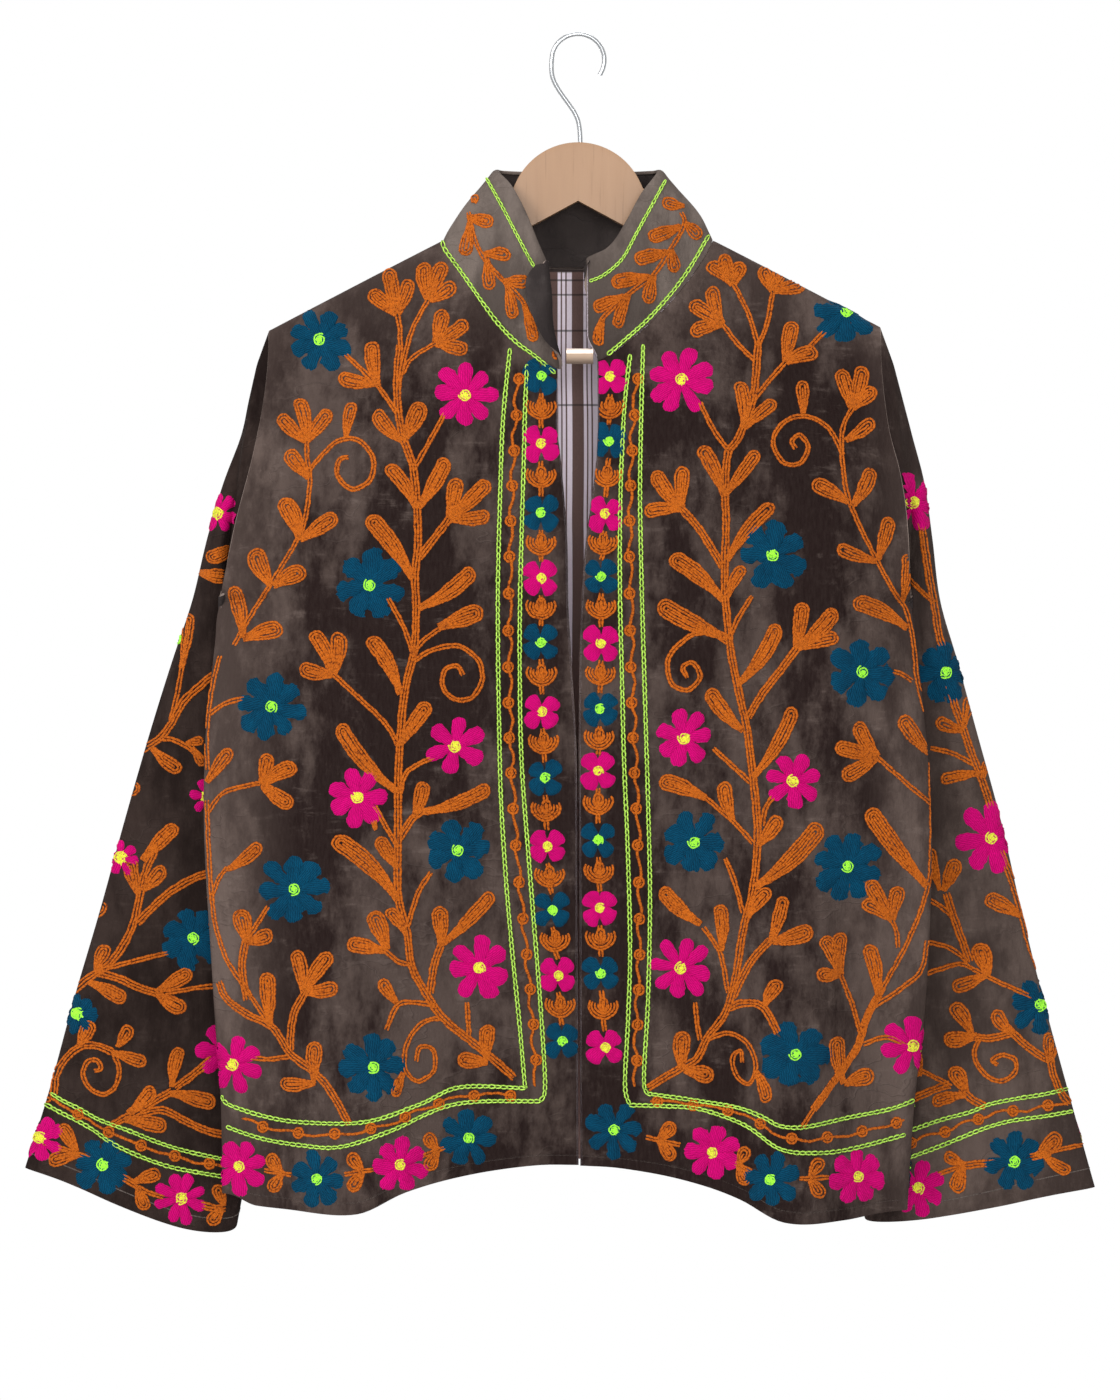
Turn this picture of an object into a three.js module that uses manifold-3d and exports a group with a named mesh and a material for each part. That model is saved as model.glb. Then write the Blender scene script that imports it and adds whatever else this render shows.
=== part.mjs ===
// Embroidered velvet jacket on a wooden hanger, in millimetres.
// +Z is up, the fronts face -Y, and the origin is the inner crest of the hanger's hook.
// Right and left are the wearer's: the right front and the right sleeve lie on the -X side.
// Every cloth piece is a wall: a grid of points on its velvet side, and the same grid moved in.
import * as THREE from 'three';
import { mergeVertices } from 'three/addons/utils/BufferGeometryUtils.js';
import Module from 'manifold-3d';

const wasm = await Module();
wasm.setup();

// ---------- driving dimensions ----------
const CLOTH = 2.6; // velvet and its lining, sewn together
const LINING = 1;
const SEAM_GAP = 0.3; // between two pieces along a seam

const NECK_POINT = { x: 97, z: -147 }; // where shoulder seam and collar meet
const SHOULDER_SLOPE = 0.53;
const SHOULDER_ROUNDING = 30; // softens the shoulder line over the middle of the neck
const TIP_X = { right: 222, left: 217 }; // shoulder tips
const UNDERARM_Z = -405;
const CREST_RADIUS = 9; // cloth bent over the hanger's arm
const FRONT_REACH = 80; // how soon the cloth falls to its full depth below the shoulder
const BACK_REACH = 35;
const CREST_FALL = 1.5;
const NECKLINE_BEND = 1.6; // 2 is a straight neckline, 1 a quarter of an ellipse
const BACK_NECK_DROP = 17; // how far the back's neckline dips at its middle
const NECK_FRONT = { right: { x: 15, z: -243 }, left: { x: 14, z: -237 } };
const ARMHOLE_HALF = 12; // half of the armhole's width, front to back
const ARMHOLE_REACH = 30;
const ARMHOLE_CLOSE = 16; // height over which it closes at the underarm
const ARMHOLE_TO_SIDE = 110; // height over which the armhole's flat edge turns into the rounded side

// The body's outline: half widths and the depth of each layer, by height.
const BODY = [
  { z: -209, right: 222, left: 217, front: 52, back: 42, side: 0 },
  { z: -235, right: 228, left: 221, front: 52, back: 42, side: -1 },
  { z: -255, right: 232, left: 224, front: 52, back: 42, side: -3 },
  { z: -284, right: 236, left: 227.5, front: 53, back: 40, side: -6 },
  { z: -312, right: 239, left: 233, front: 54, back: 38, side: -9 },
  { z: -356, right: 246, left: 235.5, front: 55, back: 36, side: -12 },
  { z: -405, right: 256, left: 238, front: 55, back: 34, side: -14 },
  { z: -420, right: 259, left: 240, front: 55, back: 33.5, side: -14.5 },
  { z: -435, right: 260, left: 242, front: 55, back: 33, side: -15 },
  { z: -492, right: 266, left: 248, front: 54, back: 32, side: -17 },
  { z: -543, right: 268, left: 252, front: 53, back: 31, side: -18 },
  { z: -593, right: 267, left: 253, front: 51, back: 30, side: -19 },
  { z: -658, right: 263, left: 251, front: 48, back: 30, side: -19 },
  { z: -708, right: 260, left: 247.5, front: 45, back: 30, side: -18 },
  { z: -766, right: 256, left: 241, front: 41, back: 31, side: -17 },
  { z: -840, right: 255, left: 236, front: 37, back: 32, side: -16 },
];

// The front edges: how far each stands from the middle, by height.
const FRONT_EDGE = [
  { z: -170, right: 15, left: 14 },
  { z: -243, right: 15, left: 15 },
  { z: -281, right: 15.5, left: 14 },
  { z: -305, right: 9, left: 11.5 },
  { z: -345, right: 7.2, left: 6.5 },
  { z: -406, right: 7.2, left: 2.2 },
  { z: -447, right: 5, left: 0.8 },
  { z: -514, right: 1.2, left: 0.2 },
  { z: -620, right: 0.6, left: 0.6 },
  { z: -830, right: -0.4, left: 1.6 },
];

// The hems, by their share of the way from the front edge (or the middle of the back) to the side.
const HEM = [
  { share: 0, right: -810, left: -810.5, back: -812 },
  { share: 0.12, right: -810, left: -812, back: -813 },
  { share: 0.3, right: -815.5, left: -819, back: -816 },
  { share: 0.48, right: -826, left: -832, back: -820 },
  { share: 0.61, right: -840, left: -846, back: -825 },
  { share: 0.8, right: -840, left: -847, back: -829 },
  { share: 0.92, right: -838, left: -844, back: -831 },
  { share: 1, right: -831, left: -843, back: -831 },
];
const SIDE_HEM = { right: -831, left: -843 };

// Folds that open towards the hem: middle and half width at the hem, the height where each
// starts, how far it leans towards +X over its length, and how far it stands proud there.
const FRONT_FOLDS = [
  { x: -157, halfWidth: 72, start: -500, lean: -16, proud: 38 },
  { x: -222, halfWidth: 24, start: -600, lean: 6, proud: -5 },
  { x: 0, halfWidth: 78, start: -560, lean: 0, proud: -13 },
  { x: 151, halfWidth: 62, start: -480, lean: 14, proud: 40 },
  { x: 106, halfWidth: 30, start: -560, lean: 4, proud: -7 },
  { x: 215, halfWidth: 26, start: -620, lean: 2, proud: -6 },
];
const BACK_FOLDS = [
  { x: -120, halfWidth: 48, start: -470, lean: -10, proud: 15 },
  { x: -8, halfWidth: 44, start: -520, lean: 4, proud: 10 },
  { x: 108, halfWidth: 50, start: -440, lean: 12, proud: 17 },
];

// The sleeves as flattened tubes, from the armhole to the cuff: outer and inner edge of each
// section, the depth of its middle at both edges, and half its thickness.
const SLEEVES = {
  right: [
    { px: 231, pz: -236, qx: 262, qz: -412, py: 0, qy: -9, half: 12 },
    { px: 237, pz: -262, qx: 265, qz: -424, py: 2, qy: -3, half: 13 },
    { px: 243, pz: -288, qx: 265, qz: -442, py: 4, qy: 8, half: 10 },
    { px: 256, pz: -322, qx: 259, qz: -464, py: 8, qy: 13, half: 18 },
    { px: 268, pz: -362, qx: 252, qz: -488, py: 12, qy: 18, half: 20 },
    { px: 279, pz: -406, qx: 243, qz: -517, py: 17, qy: 20, half: 21 },
    { px: 294, pz: -450, qx: 234, qz: -556, py: 21, qy: 25, half: 20 },
    { px: 310, pz: -500, qx: 227, qz: -600, py: 25, qy: 28, half: 19 },
    { px: 329, pz: -565, qx: 223, qz: -650, py: 28, qy: 30, half: 19 },
    { px: 347, pz: -630, qx: 224, qz: -702, py: 30, qy: 31, half: 18 },
    { px: 366, pz: -695, qx: 229, qz: -752, py: 29, qy: 30, half: 17 },
    { px: 384, pz: -762, qx: 238, qz: -806, py: 27, qy: 28, half: 15 },
    { px: 401, pz: -817, qx: 247, qz: -856, py: 25, qy: 26, half: 14 },
  ],
  left: [
    { px: 227, pz: -236, qx: 244, qz: -412, py: 0, qy: -9, half: 12 },
    { px: 234, pz: -262, qx: 243, qz: -424, py: 2, qy: 2, half: 13 },
    { px: 241, pz: -288, qx: 242, qz: -440, py: 4, qy: 12, half: 12 },
    { px: 250, pz: -322, qx: 238, qz: -462, py: 8, qy: 15, half: 18 },
    { px: 256, pz: -362, qx: 233, qz: -488, py: 12, qy: 19, half: 20 },
    { px: 262, pz: -406, qx: 229, qz: -517, py: 17, qy: 20, half: 21 },
    { px: 275, pz: -450, qx: 220, qz: -556, py: 21, qy: 25, half: 20 },
    { px: 289, pz: -500, qx: 212, qz: -600, py: 25, qy: 28, half: 19 },
    { px: 307, pz: -565, qx: 206, qz: -650, py: 28, qy: 30, half: 19 },
    { px: 322, pz: -630, qx: 203, qz: -702, py: 30, qy: 31, half: 18 },
    { px: 338, pz: -695, qx: 203, qz: -752, py: 29, qy: 30, half: 17 },
    { px: 356, pz: -762, qx: 205, qz: -806, py: 27, qy: 28, half: 15 },
    { px: 375, pz: -831, qx: 208, qz: -853, py: 25, qy: 26, half: 14 },
  ],
};
const CUFF_DIP = { right: 16, left: 7 }; // the cuff's lowest point below a straight hem
const CUFF_DIP_ROWS = 4;
const TUBE_ROUNDNESS = 0.7; // 1 is an ellipse, less is a flatter tube
const UNDERARM_EASE = 1.6; // the sleeve's seam stands off a little where it turns under
const SLEEVE_EASE_ROWS = 4; // rows from the armhole over which the spacing evens out

// The collar's upper edge from the right front over the back to the left front.
// Station 0 to 1 is the right front, 1 to 2 the back and 2 to 3 the left front.
const COLLAR_TOP = [
  { station: 0, x: -24, y: -39, z: -168.5 },
  { station: 0.25, x: -32, y: -37, z: -152 },
  { station: 0.5, x: -41, y: -32, z: -132 },
  { station: 0.75, x: -52, y: -23, z: -112 },
  { station: 1, x: -62, y: -6, z: -99.5 },
  { station: 1.2, x: -57, y: 12, z: -98 },
  { station: 1.35, x: -40, y: 23, z: -97.5 },
  { station: 1.5, x: 0, y: 29, z: -97 },
  { station: 1.65, x: 40, y: 23, z: -97.5 },
  { station: 1.8, x: 57, y: 12, z: -98 },
  { station: 2, x: 62, y: -6, z: -100 },
  { station: 2.25, x: 50, y: -24, z: -117 },
  { station: 2.5, x: 38, y: -32, z: -138 },
  { station: 2.75, x: 25, y: -37, z: -156 },
  { station: 3, x: 6.3, y: -40, z: -168 },
];
const COLLAR_BOW = 3.5; // how far the collar's middle stands out from a straight wall
const COLLAR_ROWS = 5;
// The collar's right front end is turned over outwards: its length at each row, bottom to top.
const FLAP_LENGTH = [1.5, 10, 24, 33, 27, 12];
const FLAP_RADIUS = 4;
const FLAP_COLUMNS = 10;
const COLLAR_LEFT_END = 6.5; // the left front end stands this far from the middle
const COLLAR_LEFT_END_ROWS = 1.3; // rows over which it gets there
const COLLAR_LEFT_EASE = 3; // the next column follows it this far

const FRONT_COLUMNS = 20;
const FRONT_NECK_COLUMN = 5;
const BACK_COLUMNS = 14; // each side of the middle
const BACK_NECK_COLUMN = 4;
const COLUMN_CROWDING = 1.8; // columns stand closer towards the side
// Rows as shares of the length: close over the shoulder crest and at the underarm.
const ROWS = [
  0, 0.0017, 0.0056, 0.0142, 0.03, 0.055, 0.09, 0.13, 0.17, 0.21, 0.245, 0.273, 0.2926, 0.304,
  0.3096, 0.312, 0.36, 0.42, 0.49, 0.56, 0.63, 0.7, 0.77, 0.84, 0.92, 1,
];
const UNDERARM_ROW = 15;
const MITRE_COLUMNS = 4;
const MITRE_ROWS = 3; // the mitre starts this many rows above the underarm
const LINING_INSET = 4; // rows and columns that the back's lining stays short of its edges
const TOP_TO_BODY = 150; // length over which the columns leave the spacing of the top edge

const HANGER = {
  headRadius: 49,
  headZ: -126,
  halfThickness: 4.8,
  rounding: 4,
  peakZ: -119,
  underSlope: 0.54,
  armEnd: 213,
  shoulderClearance: 4.6,
  armStart: 78,
  neckBend: { x: 55, z: -128 }, // between the head and the arms
  socketDepth: 24,
  points: { head: 8, neck: 4, arm: 5, end: 6 },
};
const HOOK = {
  wire: 3.4,
  socket: 4.2,
  loopRadius: 19,
  openEnd: 35, // degrees below the loop's middle where the wire ends
  loopStep: 21.5,
  neck: [[-19.6, -27], [-16.6, -35], [-9.7, -45], [-2, -55], [1.4, -64]], // x and z
  stem: 1.8,
  sides: 4,
  steps: 52,
};
const CLASP = {
  width: 19,
  height: 11,
  sheet: 1,
  roll: 1.8,
  x: 1.2,
  y: -46.9,
  z: -230.4,
  turn: -0.1,
  lean: 0.06,
};

const COLORS = {
  velvet: 0x5f544c,
  lining: 0x3d2b27,
  wood: 0xc59a6e,
  steel: 0x8b8f91,
  clasp: 0xbfa48a,
};
const SIDES = { right: -1, left: 1 };

// ---------- small helpers ----------
const clamp = (value) => Math.min(1, Math.max(0, value));
const mix = (from, to, share) => from + (to - from) * share;
const smooth = (value) => clamp(value) ** 2 * (3 - 2 * clamp(value));

// A smooth curve through one column of a table, against another column.
function along(table, key, column, at) {
  const rising = table[1][key] > table[0][key] ? 1 : -1;
  let i = 0;
  while (i < table.length - 2 && rising * (at - table[i + 1][key]) > 0) {
    i += 1;
  }
  const slope = (a, b) => (table[b][column] - table[a][column]) / (table[b][key] - table[a][key]);
  const span = table[i + 1][key] - table[i][key];
  const share = clamp((at - table[i][key]) / span);
  const startSlope = slope(Math.max(0, i - 1), i + 1) * span;
  const endSlope = slope(i, Math.min(table.length - 1, i + 2)) * span;
  const h = share * share * (3 - 2 * share);
  const blend = mix(table[i][column], table[i + 1][column], h);
  const start = startSlope * share * (1 - share) ** 2;
  const end = endSlope * share ** 2 * (share - 1);
  return blend + start + end;
}

const byHeight = (column, z) => along(BODY, 'z', column, z);

// ---------- walls ----------
// Directions from the velvet side into the wall, worked out from the grid.
function inwardDirections(grid, ring, facing) {
  const lastColumn = grid[0].length - 1;
  return grid.map((line, row) => line.map((point, column) => {
    const above = grid[Math.max(0, row - 1)][column];
    const below = grid[Math.min(grid.length - 1, row + 1)][column];
    const before = ring ? line[(column + lastColumn) % (lastColumn + 1)] : line[Math.max(0, column - 1)];
    const after = ring ? line[(column + 1) % (lastColumn + 1)] : line[Math.min(lastColumn, column + 1)];
    const down = below.clone().sub(above);
    const across = after.clone().sub(before);
    return across.cross(down).normalize().multiplyScalar(facing);
  }));
}

function moved(grid, directions, distance) {
  return grid.map((line, row) => line.map((point, column) => (
    point.clone().addScaledVector(directions[row][column], distance)
  )));
}

function signedVolume(points, index) {
  let volume = 0;
  for (let i = 0; i < index.length; i += 3) {
    const [a, b, c] = [points[index[i]], points[index[i + 1]], points[index[i + 2]]];
    volume += a.dot(b.clone().cross(c)) / 6;
  }
  return volume;
}

// A closed body between two grids of the same shape.
function wallBetween(outer, inner, ring) {
  const rows = outer.length;
  const columns = outer[0].length;
  const points = [...outer.flat(), ...inner.flat()];
  const index = [];
  const at = (layer, row, column) => layer * rows * columns + row * columns + (column % columns);
  const quad = (a, b, c, d) => index.push(a, b, c, a, c, d);
  const spans = ring ? columns : columns - 1;
  for (let row = 0; row < rows - 1; row++) {
    for (let column = 0; column < spans; column++) {
      quad(at(0, row, column), at(0, row + 1, column), at(0, row + 1, column + 1), at(0, row, column + 1));
      quad(at(1, row, column), at(1, row, column + 1), at(1, row + 1, column + 1), at(1, row + 1, column));
    }
  }
  for (let column = 0; column < spans; column++) {
    const last = rows - 1;
    quad(at(0, 0, column), at(0, 0, column + 1), at(1, 0, column + 1), at(1, 0, column));
    quad(at(0, last, column), at(1, last, column), at(1, last, column + 1), at(0, last, column + 1));
  }
  for (let row = 0; row < rows - 1 && !ring; row++) {
    const last = columns - 1;
    quad(at(0, row, 0), at(1, row, 0), at(1, row + 1, 0), at(0, row + 1, 0));
    quad(at(0, row, last), at(0, row + 1, last), at(1, row + 1, last), at(1, row, last));
  }
  if (signedVolume(points, index) < 0) {
    index.reverse();
  }
  const geometry = new THREE.BufferGeometry();
  const positions = points.flatMap((point) => [point.x, point.y, point.z]);
  geometry.setAttribute('position', new THREE.Float32BufferAttribute(positions, 3));
  geometry.setIndex(index);
  geometry.computeVertexNormals();
  return geometry;
}

function namedMesh(name, geometry, color, roughness, metalness) {
  const material = new THREE.MeshStandardMaterial({ color, roughness, metalness });
  const mesh = new THREE.Mesh(geometry, material);
  mesh.name = name;
  return mesh;
}

const clothMesh = (name, geometry) => namedMesh(name, geometry, COLORS.velvet, 0.9, 0);

// ---------- the body's form ----------
// Height of the shoulder line above any place across the body.
function shoulderHeight(x, tip) {
  const across = Math.min(Math.abs(x), tip);
  const spread = Math.hypot(across, SHOULDER_ROUNDING) - Math.hypot(NECK_POINT.x, SHOULDER_ROUNDING);
  return NECK_POINT.z - SHOULDER_SLOPE * spread;
}

// How far a layer stands from the hanger's plane at a drop below the shoulder line.
function overShoulder(drop, depth, reach) {
  if (drop < CREST_RADIUS) {
    return Math.sqrt(Math.max(0, drop * (2 * CREST_RADIUS - drop)));
  }
  const fall = ((drop - CREST_RADIUS) / reach) ** CREST_FALL;
  return CREST_RADIUS + (depth - CREST_RADIUS) * (1 - Math.exp(-fall));
}

function foldDepth(folds, x, z) {
  const bottom = BODY[BODY.length - 1].z;
  let depth = 0;
  for (const fold of folds) {
    const open = clamp((fold.start - z) / (fold.start - bottom));
    const middle = fold.x - fold.lean * (1 - open);
    const width = fold.halfWidth * mix(0.6, 1, open);
    depth += fold.proud * open ** 1.3 * Math.exp(-(((x - middle) / width) ** 2) * 1.8);
  }
  return depth;
}

// Depth of the seam line that the front and the back share at the side, and how far the
// armhole opens on each side of it.
function sideSeam(side, x, z) {
  const tip = TIP_X[side];
  const tipZ = shoulderHeight(tip, tip);
  const drop = shoulderHeight(x, tip) - z;
  const rise = clamp((tipZ - drop - UNDERARM_Z) / ARMHOLE_CLOSE);
  const closing = Math.sqrt(1 - (1 - rise) ** 2);
  const open = overShoulder(drop, ARMHOLE_HALF, ARMHOLE_REACH) * closing;
  return { middle: byHeight('side', tipZ - drop), open };
}

// Shares of a layer's full depth from the middle (0) to the side (1).
function frontCrown(share, z) {
  const arm = smooth(1 - (UNDERARM_Z - z) / ARMHOLE_TO_SIDE);
  return mix(Math.sqrt(1 - share ** 4), 1 - share ** 5, arm);
}

function backCrown(share, z) {
  const arm = smooth(1 - (UNDERARM_Z - z) / ARMHOLE_TO_SIDE);
  const flank = 0.14 * Math.sqrt(1 - share ** 8) + 0.86 * smooth((0.9 - share) / 0.5);
  return mix(flank, 1 - share ** 5, arm);
}

function frontDepth(side, x, z) {
  const seam = sideSeam(side, x, z);
  const drop = shoulderHeight(x, TIP_X[side]) - z;
  const full = -overShoulder(drop, byHeight('front', z), FRONT_REACH) - foldDepth(FRONT_FOLDS, x, z);
  const share = clamp(Math.abs(x) / byHeight(side, z));
  return mix(seam.middle - seam.open, full, frontCrown(share, z)) - SEAM_GAP / 2;
}

function backDepth(side, x, z) {
  const seam = sideSeam(side, x, z);
  const drop = shoulderHeight(x, TIP_X[side]) - z;
  const full = overShoulder(drop, byHeight('back', z), BACK_REACH) + foldDepth(BACK_FOLDS, x, z);
  const share = clamp(Math.abs(x) / byHeight(side, z));
  return mix(seam.middle + seam.open, full, backCrown(share, z)) + SEAM_GAP / 2;
}

const columnShare = (share) => 1 - (1 - share) ** COLUMN_CROWDING;

// Top edge of a front: the neckline, then the shoulder seam.
function frontTop(side, column) {
  const front = NECK_FRONT[side];
  if (column <= FRONT_NECK_COLUMN) {
    const angle = (column / FRONT_NECK_COLUMN) * (Math.PI / 2);
    const out = Math.sin(angle) ** NECKLINE_BEND;
    const up = 1 - Math.cos(angle) ** NECKLINE_BEND;
    return { x: mix(front.x, NECK_POINT.x, out), z: mix(front.z, NECK_POINT.z, up) };
  }
  const from = columnShare(FRONT_NECK_COLUMN / FRONT_COLUMNS);
  const share = (columnShare(column / FRONT_COLUMNS) - from) / (1 - from);
  const x = mix(NECK_POINT.x, TIP_X[side], share);
  return { x, z: shoulderHeight(x, TIP_X[side]) };
}

function backTop(side, column) {
  if (column <= BACK_NECK_COLUMN) {
    const share = column / BACK_NECK_COLUMN;
    const z = NECK_POINT.z - BACK_NECK_DROP * (1 - share ** 2.5);
    return { x: NECK_POINT.x * share, z };
  }
  const from = columnShare(BACK_NECK_COLUMN / BACK_COLUMNS);
  const share = (columnShare(column / BACK_COLUMNS) - from) / (1 - from);
  const x = mix(NECK_POINT.x, TIP_X[side], share);
  return { x, z: shoulderHeight(x, TIP_X[side]) };
}

// One column of a panel from its top edge to its hem.
function panelPoint(side, top, share, hem, middle, rowShare, depth) {
  const z = mix(top.z, hem, rowShare);
  const loosened = smooth((top.z - z) / TOP_TO_BODY);
  const x = mix(top.x, mix(middle(z), byHeight(side, z), share), loosened) * SIDES[side];
  return new THREE.Vector3(x, depth(side, x, z), z);
}

function frontGrid(side) {
  const edge = (z) => along(FRONT_EDGE, 'z', side, z);
  return ROWS.map((rowShare) => {
    const line = [];
    for (let column = 0; column <= FRONT_COLUMNS; column++) {
      const share = columnShare(column / FRONT_COLUMNS);
      const top = frontTop(side, column);
      const hem = mix(along(HEM, 'share', side, share), SIDE_HEM[side], smooth((share - 0.9) / 0.1));
      line.push(panelPoint(side, top, share, hem, edge, rowShare, frontDepth));
    }
    return line;
  });
}

function backGrid() {
  const centre = () => 0;
  return ROWS.map((rowShare) => {
    const line = [];
    for (let column = -BACK_COLUMNS; column <= BACK_COLUMNS; column++) {
      const side = column < 0 ? 'right' : 'left';
      const reach = Math.abs(column);
      const share = columnShare(reach / BACK_COLUMNS);
      const top = backTop(side, reach);
      const hem = mix(along(HEM, 'share', 'back', share), SIDE_HEM[side], smooth((share - 0.6) / 0.4));
      line.push(panelPoint(side, top, share, hem, centre, rowShare, backDepth));
    }
    return line;
  });
}

// ---------- seams ----------
// The armhole's inward directions lie in the plane of the side, so both pieces meet squarely.
function loopDirections(loop) {
  const centre = loop.reduce((sum, point) => sum.add(point), new THREE.Vector3()).divideScalar(loop.length);
  return loop.map((point, i) => {
    const before = loop[(i + loop.length - 1) % loop.length];
    const after = loop[(i + 1) % loop.length];
    const direction = new THREE.Vector3(0, before.z - after.z, after.y - before.y).normalize();
    if (i % (loop.length / 2) === 0) {
      direction.set(0, 0, 1); // both pieces end squarely at the shoulder tip and the underarm
    }
    return direction.dot(centre.clone().sub(point)) < 0 ? direction.negate() : direction;
  });
}

// The loop of an armhole: shoulder tip, down the front's edge, underarm, up the back's edge.
function armholeLoop(front, back, side) {
  const frontEdge = front.map((line) => line[FRONT_COLUMNS]);
  const backEdge = back.map((line) => line[side === 'right' ? 0 : 2 * BACK_COLUMNS]);
  const loop = [frontEdge[0].clone().lerp(backEdge[0], 0.5)];
  for (let row = 1; row < UNDERARM_ROW; row++) {
    loop.push(frontEdge[row].clone());
  }
  loop.push(frontEdge[UNDERARM_ROW].clone().lerp(backEdge[UNDERARM_ROW], 0.5));
  for (let row = UNDERARM_ROW - 1; row > 0; row--) {
    loop.push(backEdge[row].clone());
  }
  return loop;
}

const flattenAcross = (direction) => direction.setY(0).normalize();

// Seam edges of a panel point straight into the body, so its neighbour's edge fits beside it.
function squareSeams(directions, armhole, column, neckColumns, isFront) {
  for (const neckColumn of neckColumns) {
    flattenAcross(directions[0][neckColumn]);
  }
  directions.forEach((line, row) => {
    const fromLoop = isFront ? row : (armhole.length - row) % armhole.length;
    if (row <= UNDERARM_ROW) {
      line[column].copy(armhole[fromLoop]);
    } else {
      flattenAcross(line[column]);
    }
  });
}

const range = (from, to) => Array.from({ length: to - from + 1 }, (_, i) => from + i);

// ---------- cloth pieces ----------
const fronts = { right: frontGrid('right'), left: frontGrid('left') };
const back = backGrid();
const armholes = {
  right: armholeLoop(fronts.right, back, 'right'),
  left: armholeLoop(fronts.left, back, 'left'),
};
const armholeDirections = {
  right: loopDirections(armholes.right),
  left: loopDirections(armholes.left),
};

const frontDirections = {};
for (const side of Object.keys(SIDES)) {
  const directions = inwardDirections(fronts[side], false, -SIDES[side]);
  const seamColumns = range(FRONT_NECK_COLUMN, FRONT_COLUMNS);
  squareSeams(directions, armholeDirections[side], FRONT_COLUMNS, seamColumns, true);
  frontDirections[side] = directions;
}
const backDirections = inwardDirections(back, false, 1);
squareSeams(
  backDirections, armholeDirections.right, 0,
  range(0, BACK_COLUMNS - BACK_NECK_COLUMN), false,
);
squareSeams(
  backDirections, armholeDirections.left, 2 * BACK_COLUMNS,
  range(BACK_COLUMNS + BACK_NECK_COLUMN, 2 * BACK_COLUMNS), false,
);

// Inside the side seams the wall stops at the seam's plane, so front and back never cross.
function mitredInside(grid, directions, seamColumns, facing) {
  const inside = moved(grid, directions, CLOTH);
  for (let row = UNDERARM_ROW - MITRE_ROWS; row < grid.length; row++) {
    for (const seamColumn of seamColumns) {
      const seamY = grid[Math.max(row, UNDERARM_ROW)][seamColumn].y;
      for (let column = 0; column < grid[row].length; column++) {
        const isNear = Math.abs(column - seamColumn) <= MITRE_COLUMNS;
        if (isNear && (inside[row][column].y - seamY) * facing < 0) {
          inside[row][column].y = seamY;
        }
      }
    }
  }
  return inside;
}

function panelMesh(name, grid, directions, seamColumns, facing) {
  const inside = mitredInside(grid, directions, seamColumns, facing);
  return clothMesh(name, wallBetween(grid, inside, false));
}

// The back's lining lies inside it, short of its seams and its hem.
function liningMesh() {
  const inset = (grid) => grid.slice(LINING_INSET, -1)
    .map((line) => line.slice(LINING_INSET, -LINING_INSET));
  const outer = moved(back, backDirections, CLOTH + SEAM_GAP);
  const inner = moved(back, backDirections, CLOTH + SEAM_GAP + LINING);
  return namedMesh('back_lining', wallBetween(inset(outer), inset(inner), false), COLORS.lining, 0.6, 0);
}

// ---------- sleeves ----------
function sleeveGrid(side) {
  const sign = SIDES[side];
  const loop = armholes[side];
  const half = loop.length / 2;
  const tipZ = loop[0].z;
  const underZ = loop[half].z;
  const away = (z) => mix(SEAM_GAP, UNDERARM_EASE, smooth((tipZ - z) / (tipZ - underZ) / 0.2 - 4));
  const grid = [loop.map(({ x, y, z }) => new THREE.Vector3(x + sign * away(z), y, z))];
  SLEEVES[side].forEach((section, i) => {
    const row = i + 1;
    const even = smooth(row / SLEEVE_EASE_ROWS);
    const fromCuff = SLEEVES[side].length - row;
    const dip = CUFF_DIP[side] * smooth(1 - fromCuff / CUFF_DIP_ROWS);
    grid.push(loop.map((point, j) => {
      const isFront = j <= half;
      const step = isFront ? j : loop.length - j;
      const angle = (Math.PI * step) / half;
      const onArmhole = (tipZ - loop[step].z) / (tipZ - underZ);
      const across = mix(onArmhole, (1 - Math.cos(angle)) / 2, even);
      const round = (4 * across * (1 - across)) ** (TUBE_ROUNDNESS / 2);
      const y = mix(section.py, section.qy, across) + (isFront ? -1 : 1) * section.half * round;
      const sag = dip * smooth(across / 0.85) * (isFront ? 1 : 0.6) * round;
      const x = mix(section.px, section.qx, across) * sign;
      return new THREE.Vector3(x, y, mix(section.pz, section.qz, across) - sag);
    }));
  });
  return grid;
}

function sleeveMesh(side) {
  const grid = sleeveGrid(side);
  const directions = inwardDirections(grid, true, -SIDES[side]);
  directions[0] = armholeDirections[side];
  return clothMesh(`sleeve_${side}`, wallBetween(grid, moved(grid, directions, CLOTH), true));
}

// ---------- collar ----------
// The neck seam: stations, points and inward directions of the panels' edges under the collar.
function neckSeam() {
  const seam = [];
  const add = (station, point, direction) => seam.push({ station, point, direction });
  for (let column = 0; column <= FRONT_NECK_COLUMN; column++) {
    add(column / FRONT_NECK_COLUMN, fronts.right[0][column], frontDirections.right[0][column]);
  }
  for (let column = 1 - BACK_NECK_COLUMN; column < BACK_NECK_COLUMN; column++) {
    const at = BACK_COLUMNS + column;
    add(1.5 + column / (2 * BACK_NECK_COLUMN), back[0][at], backDirections[0][at]);
  }
  for (let column = FRONT_NECK_COLUMN; column >= 0; column--) {
    add(3 - column / FRONT_NECK_COLUMN, fronts.left[0][column], frontDirections.left[0][column]);
  }
  // A point halfway along each stretch of the seam keeps the collar's upper edge smooth.
  const fine = [seam[0]];
  for (let i = 1; i < seam.length; i++) {
    const [from, to] = [seam[i - 1], seam[i]];
    fine.push({
      station: mix(from.station, to.station, 0.5),
      point: from.point.clone().lerp(to.point, 0.5),
      direction: from.direction.clone().lerp(to.direction, 0.5).normalize(),
    });
    fine.push(to);
  }
  return fine;
}

function collarTop(station) {
  const at = (column) => along(COLLAR_TOP, 'station', column, station);
  return new THREE.Vector3(at('x'), at('y'), at('z'));
}

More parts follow.
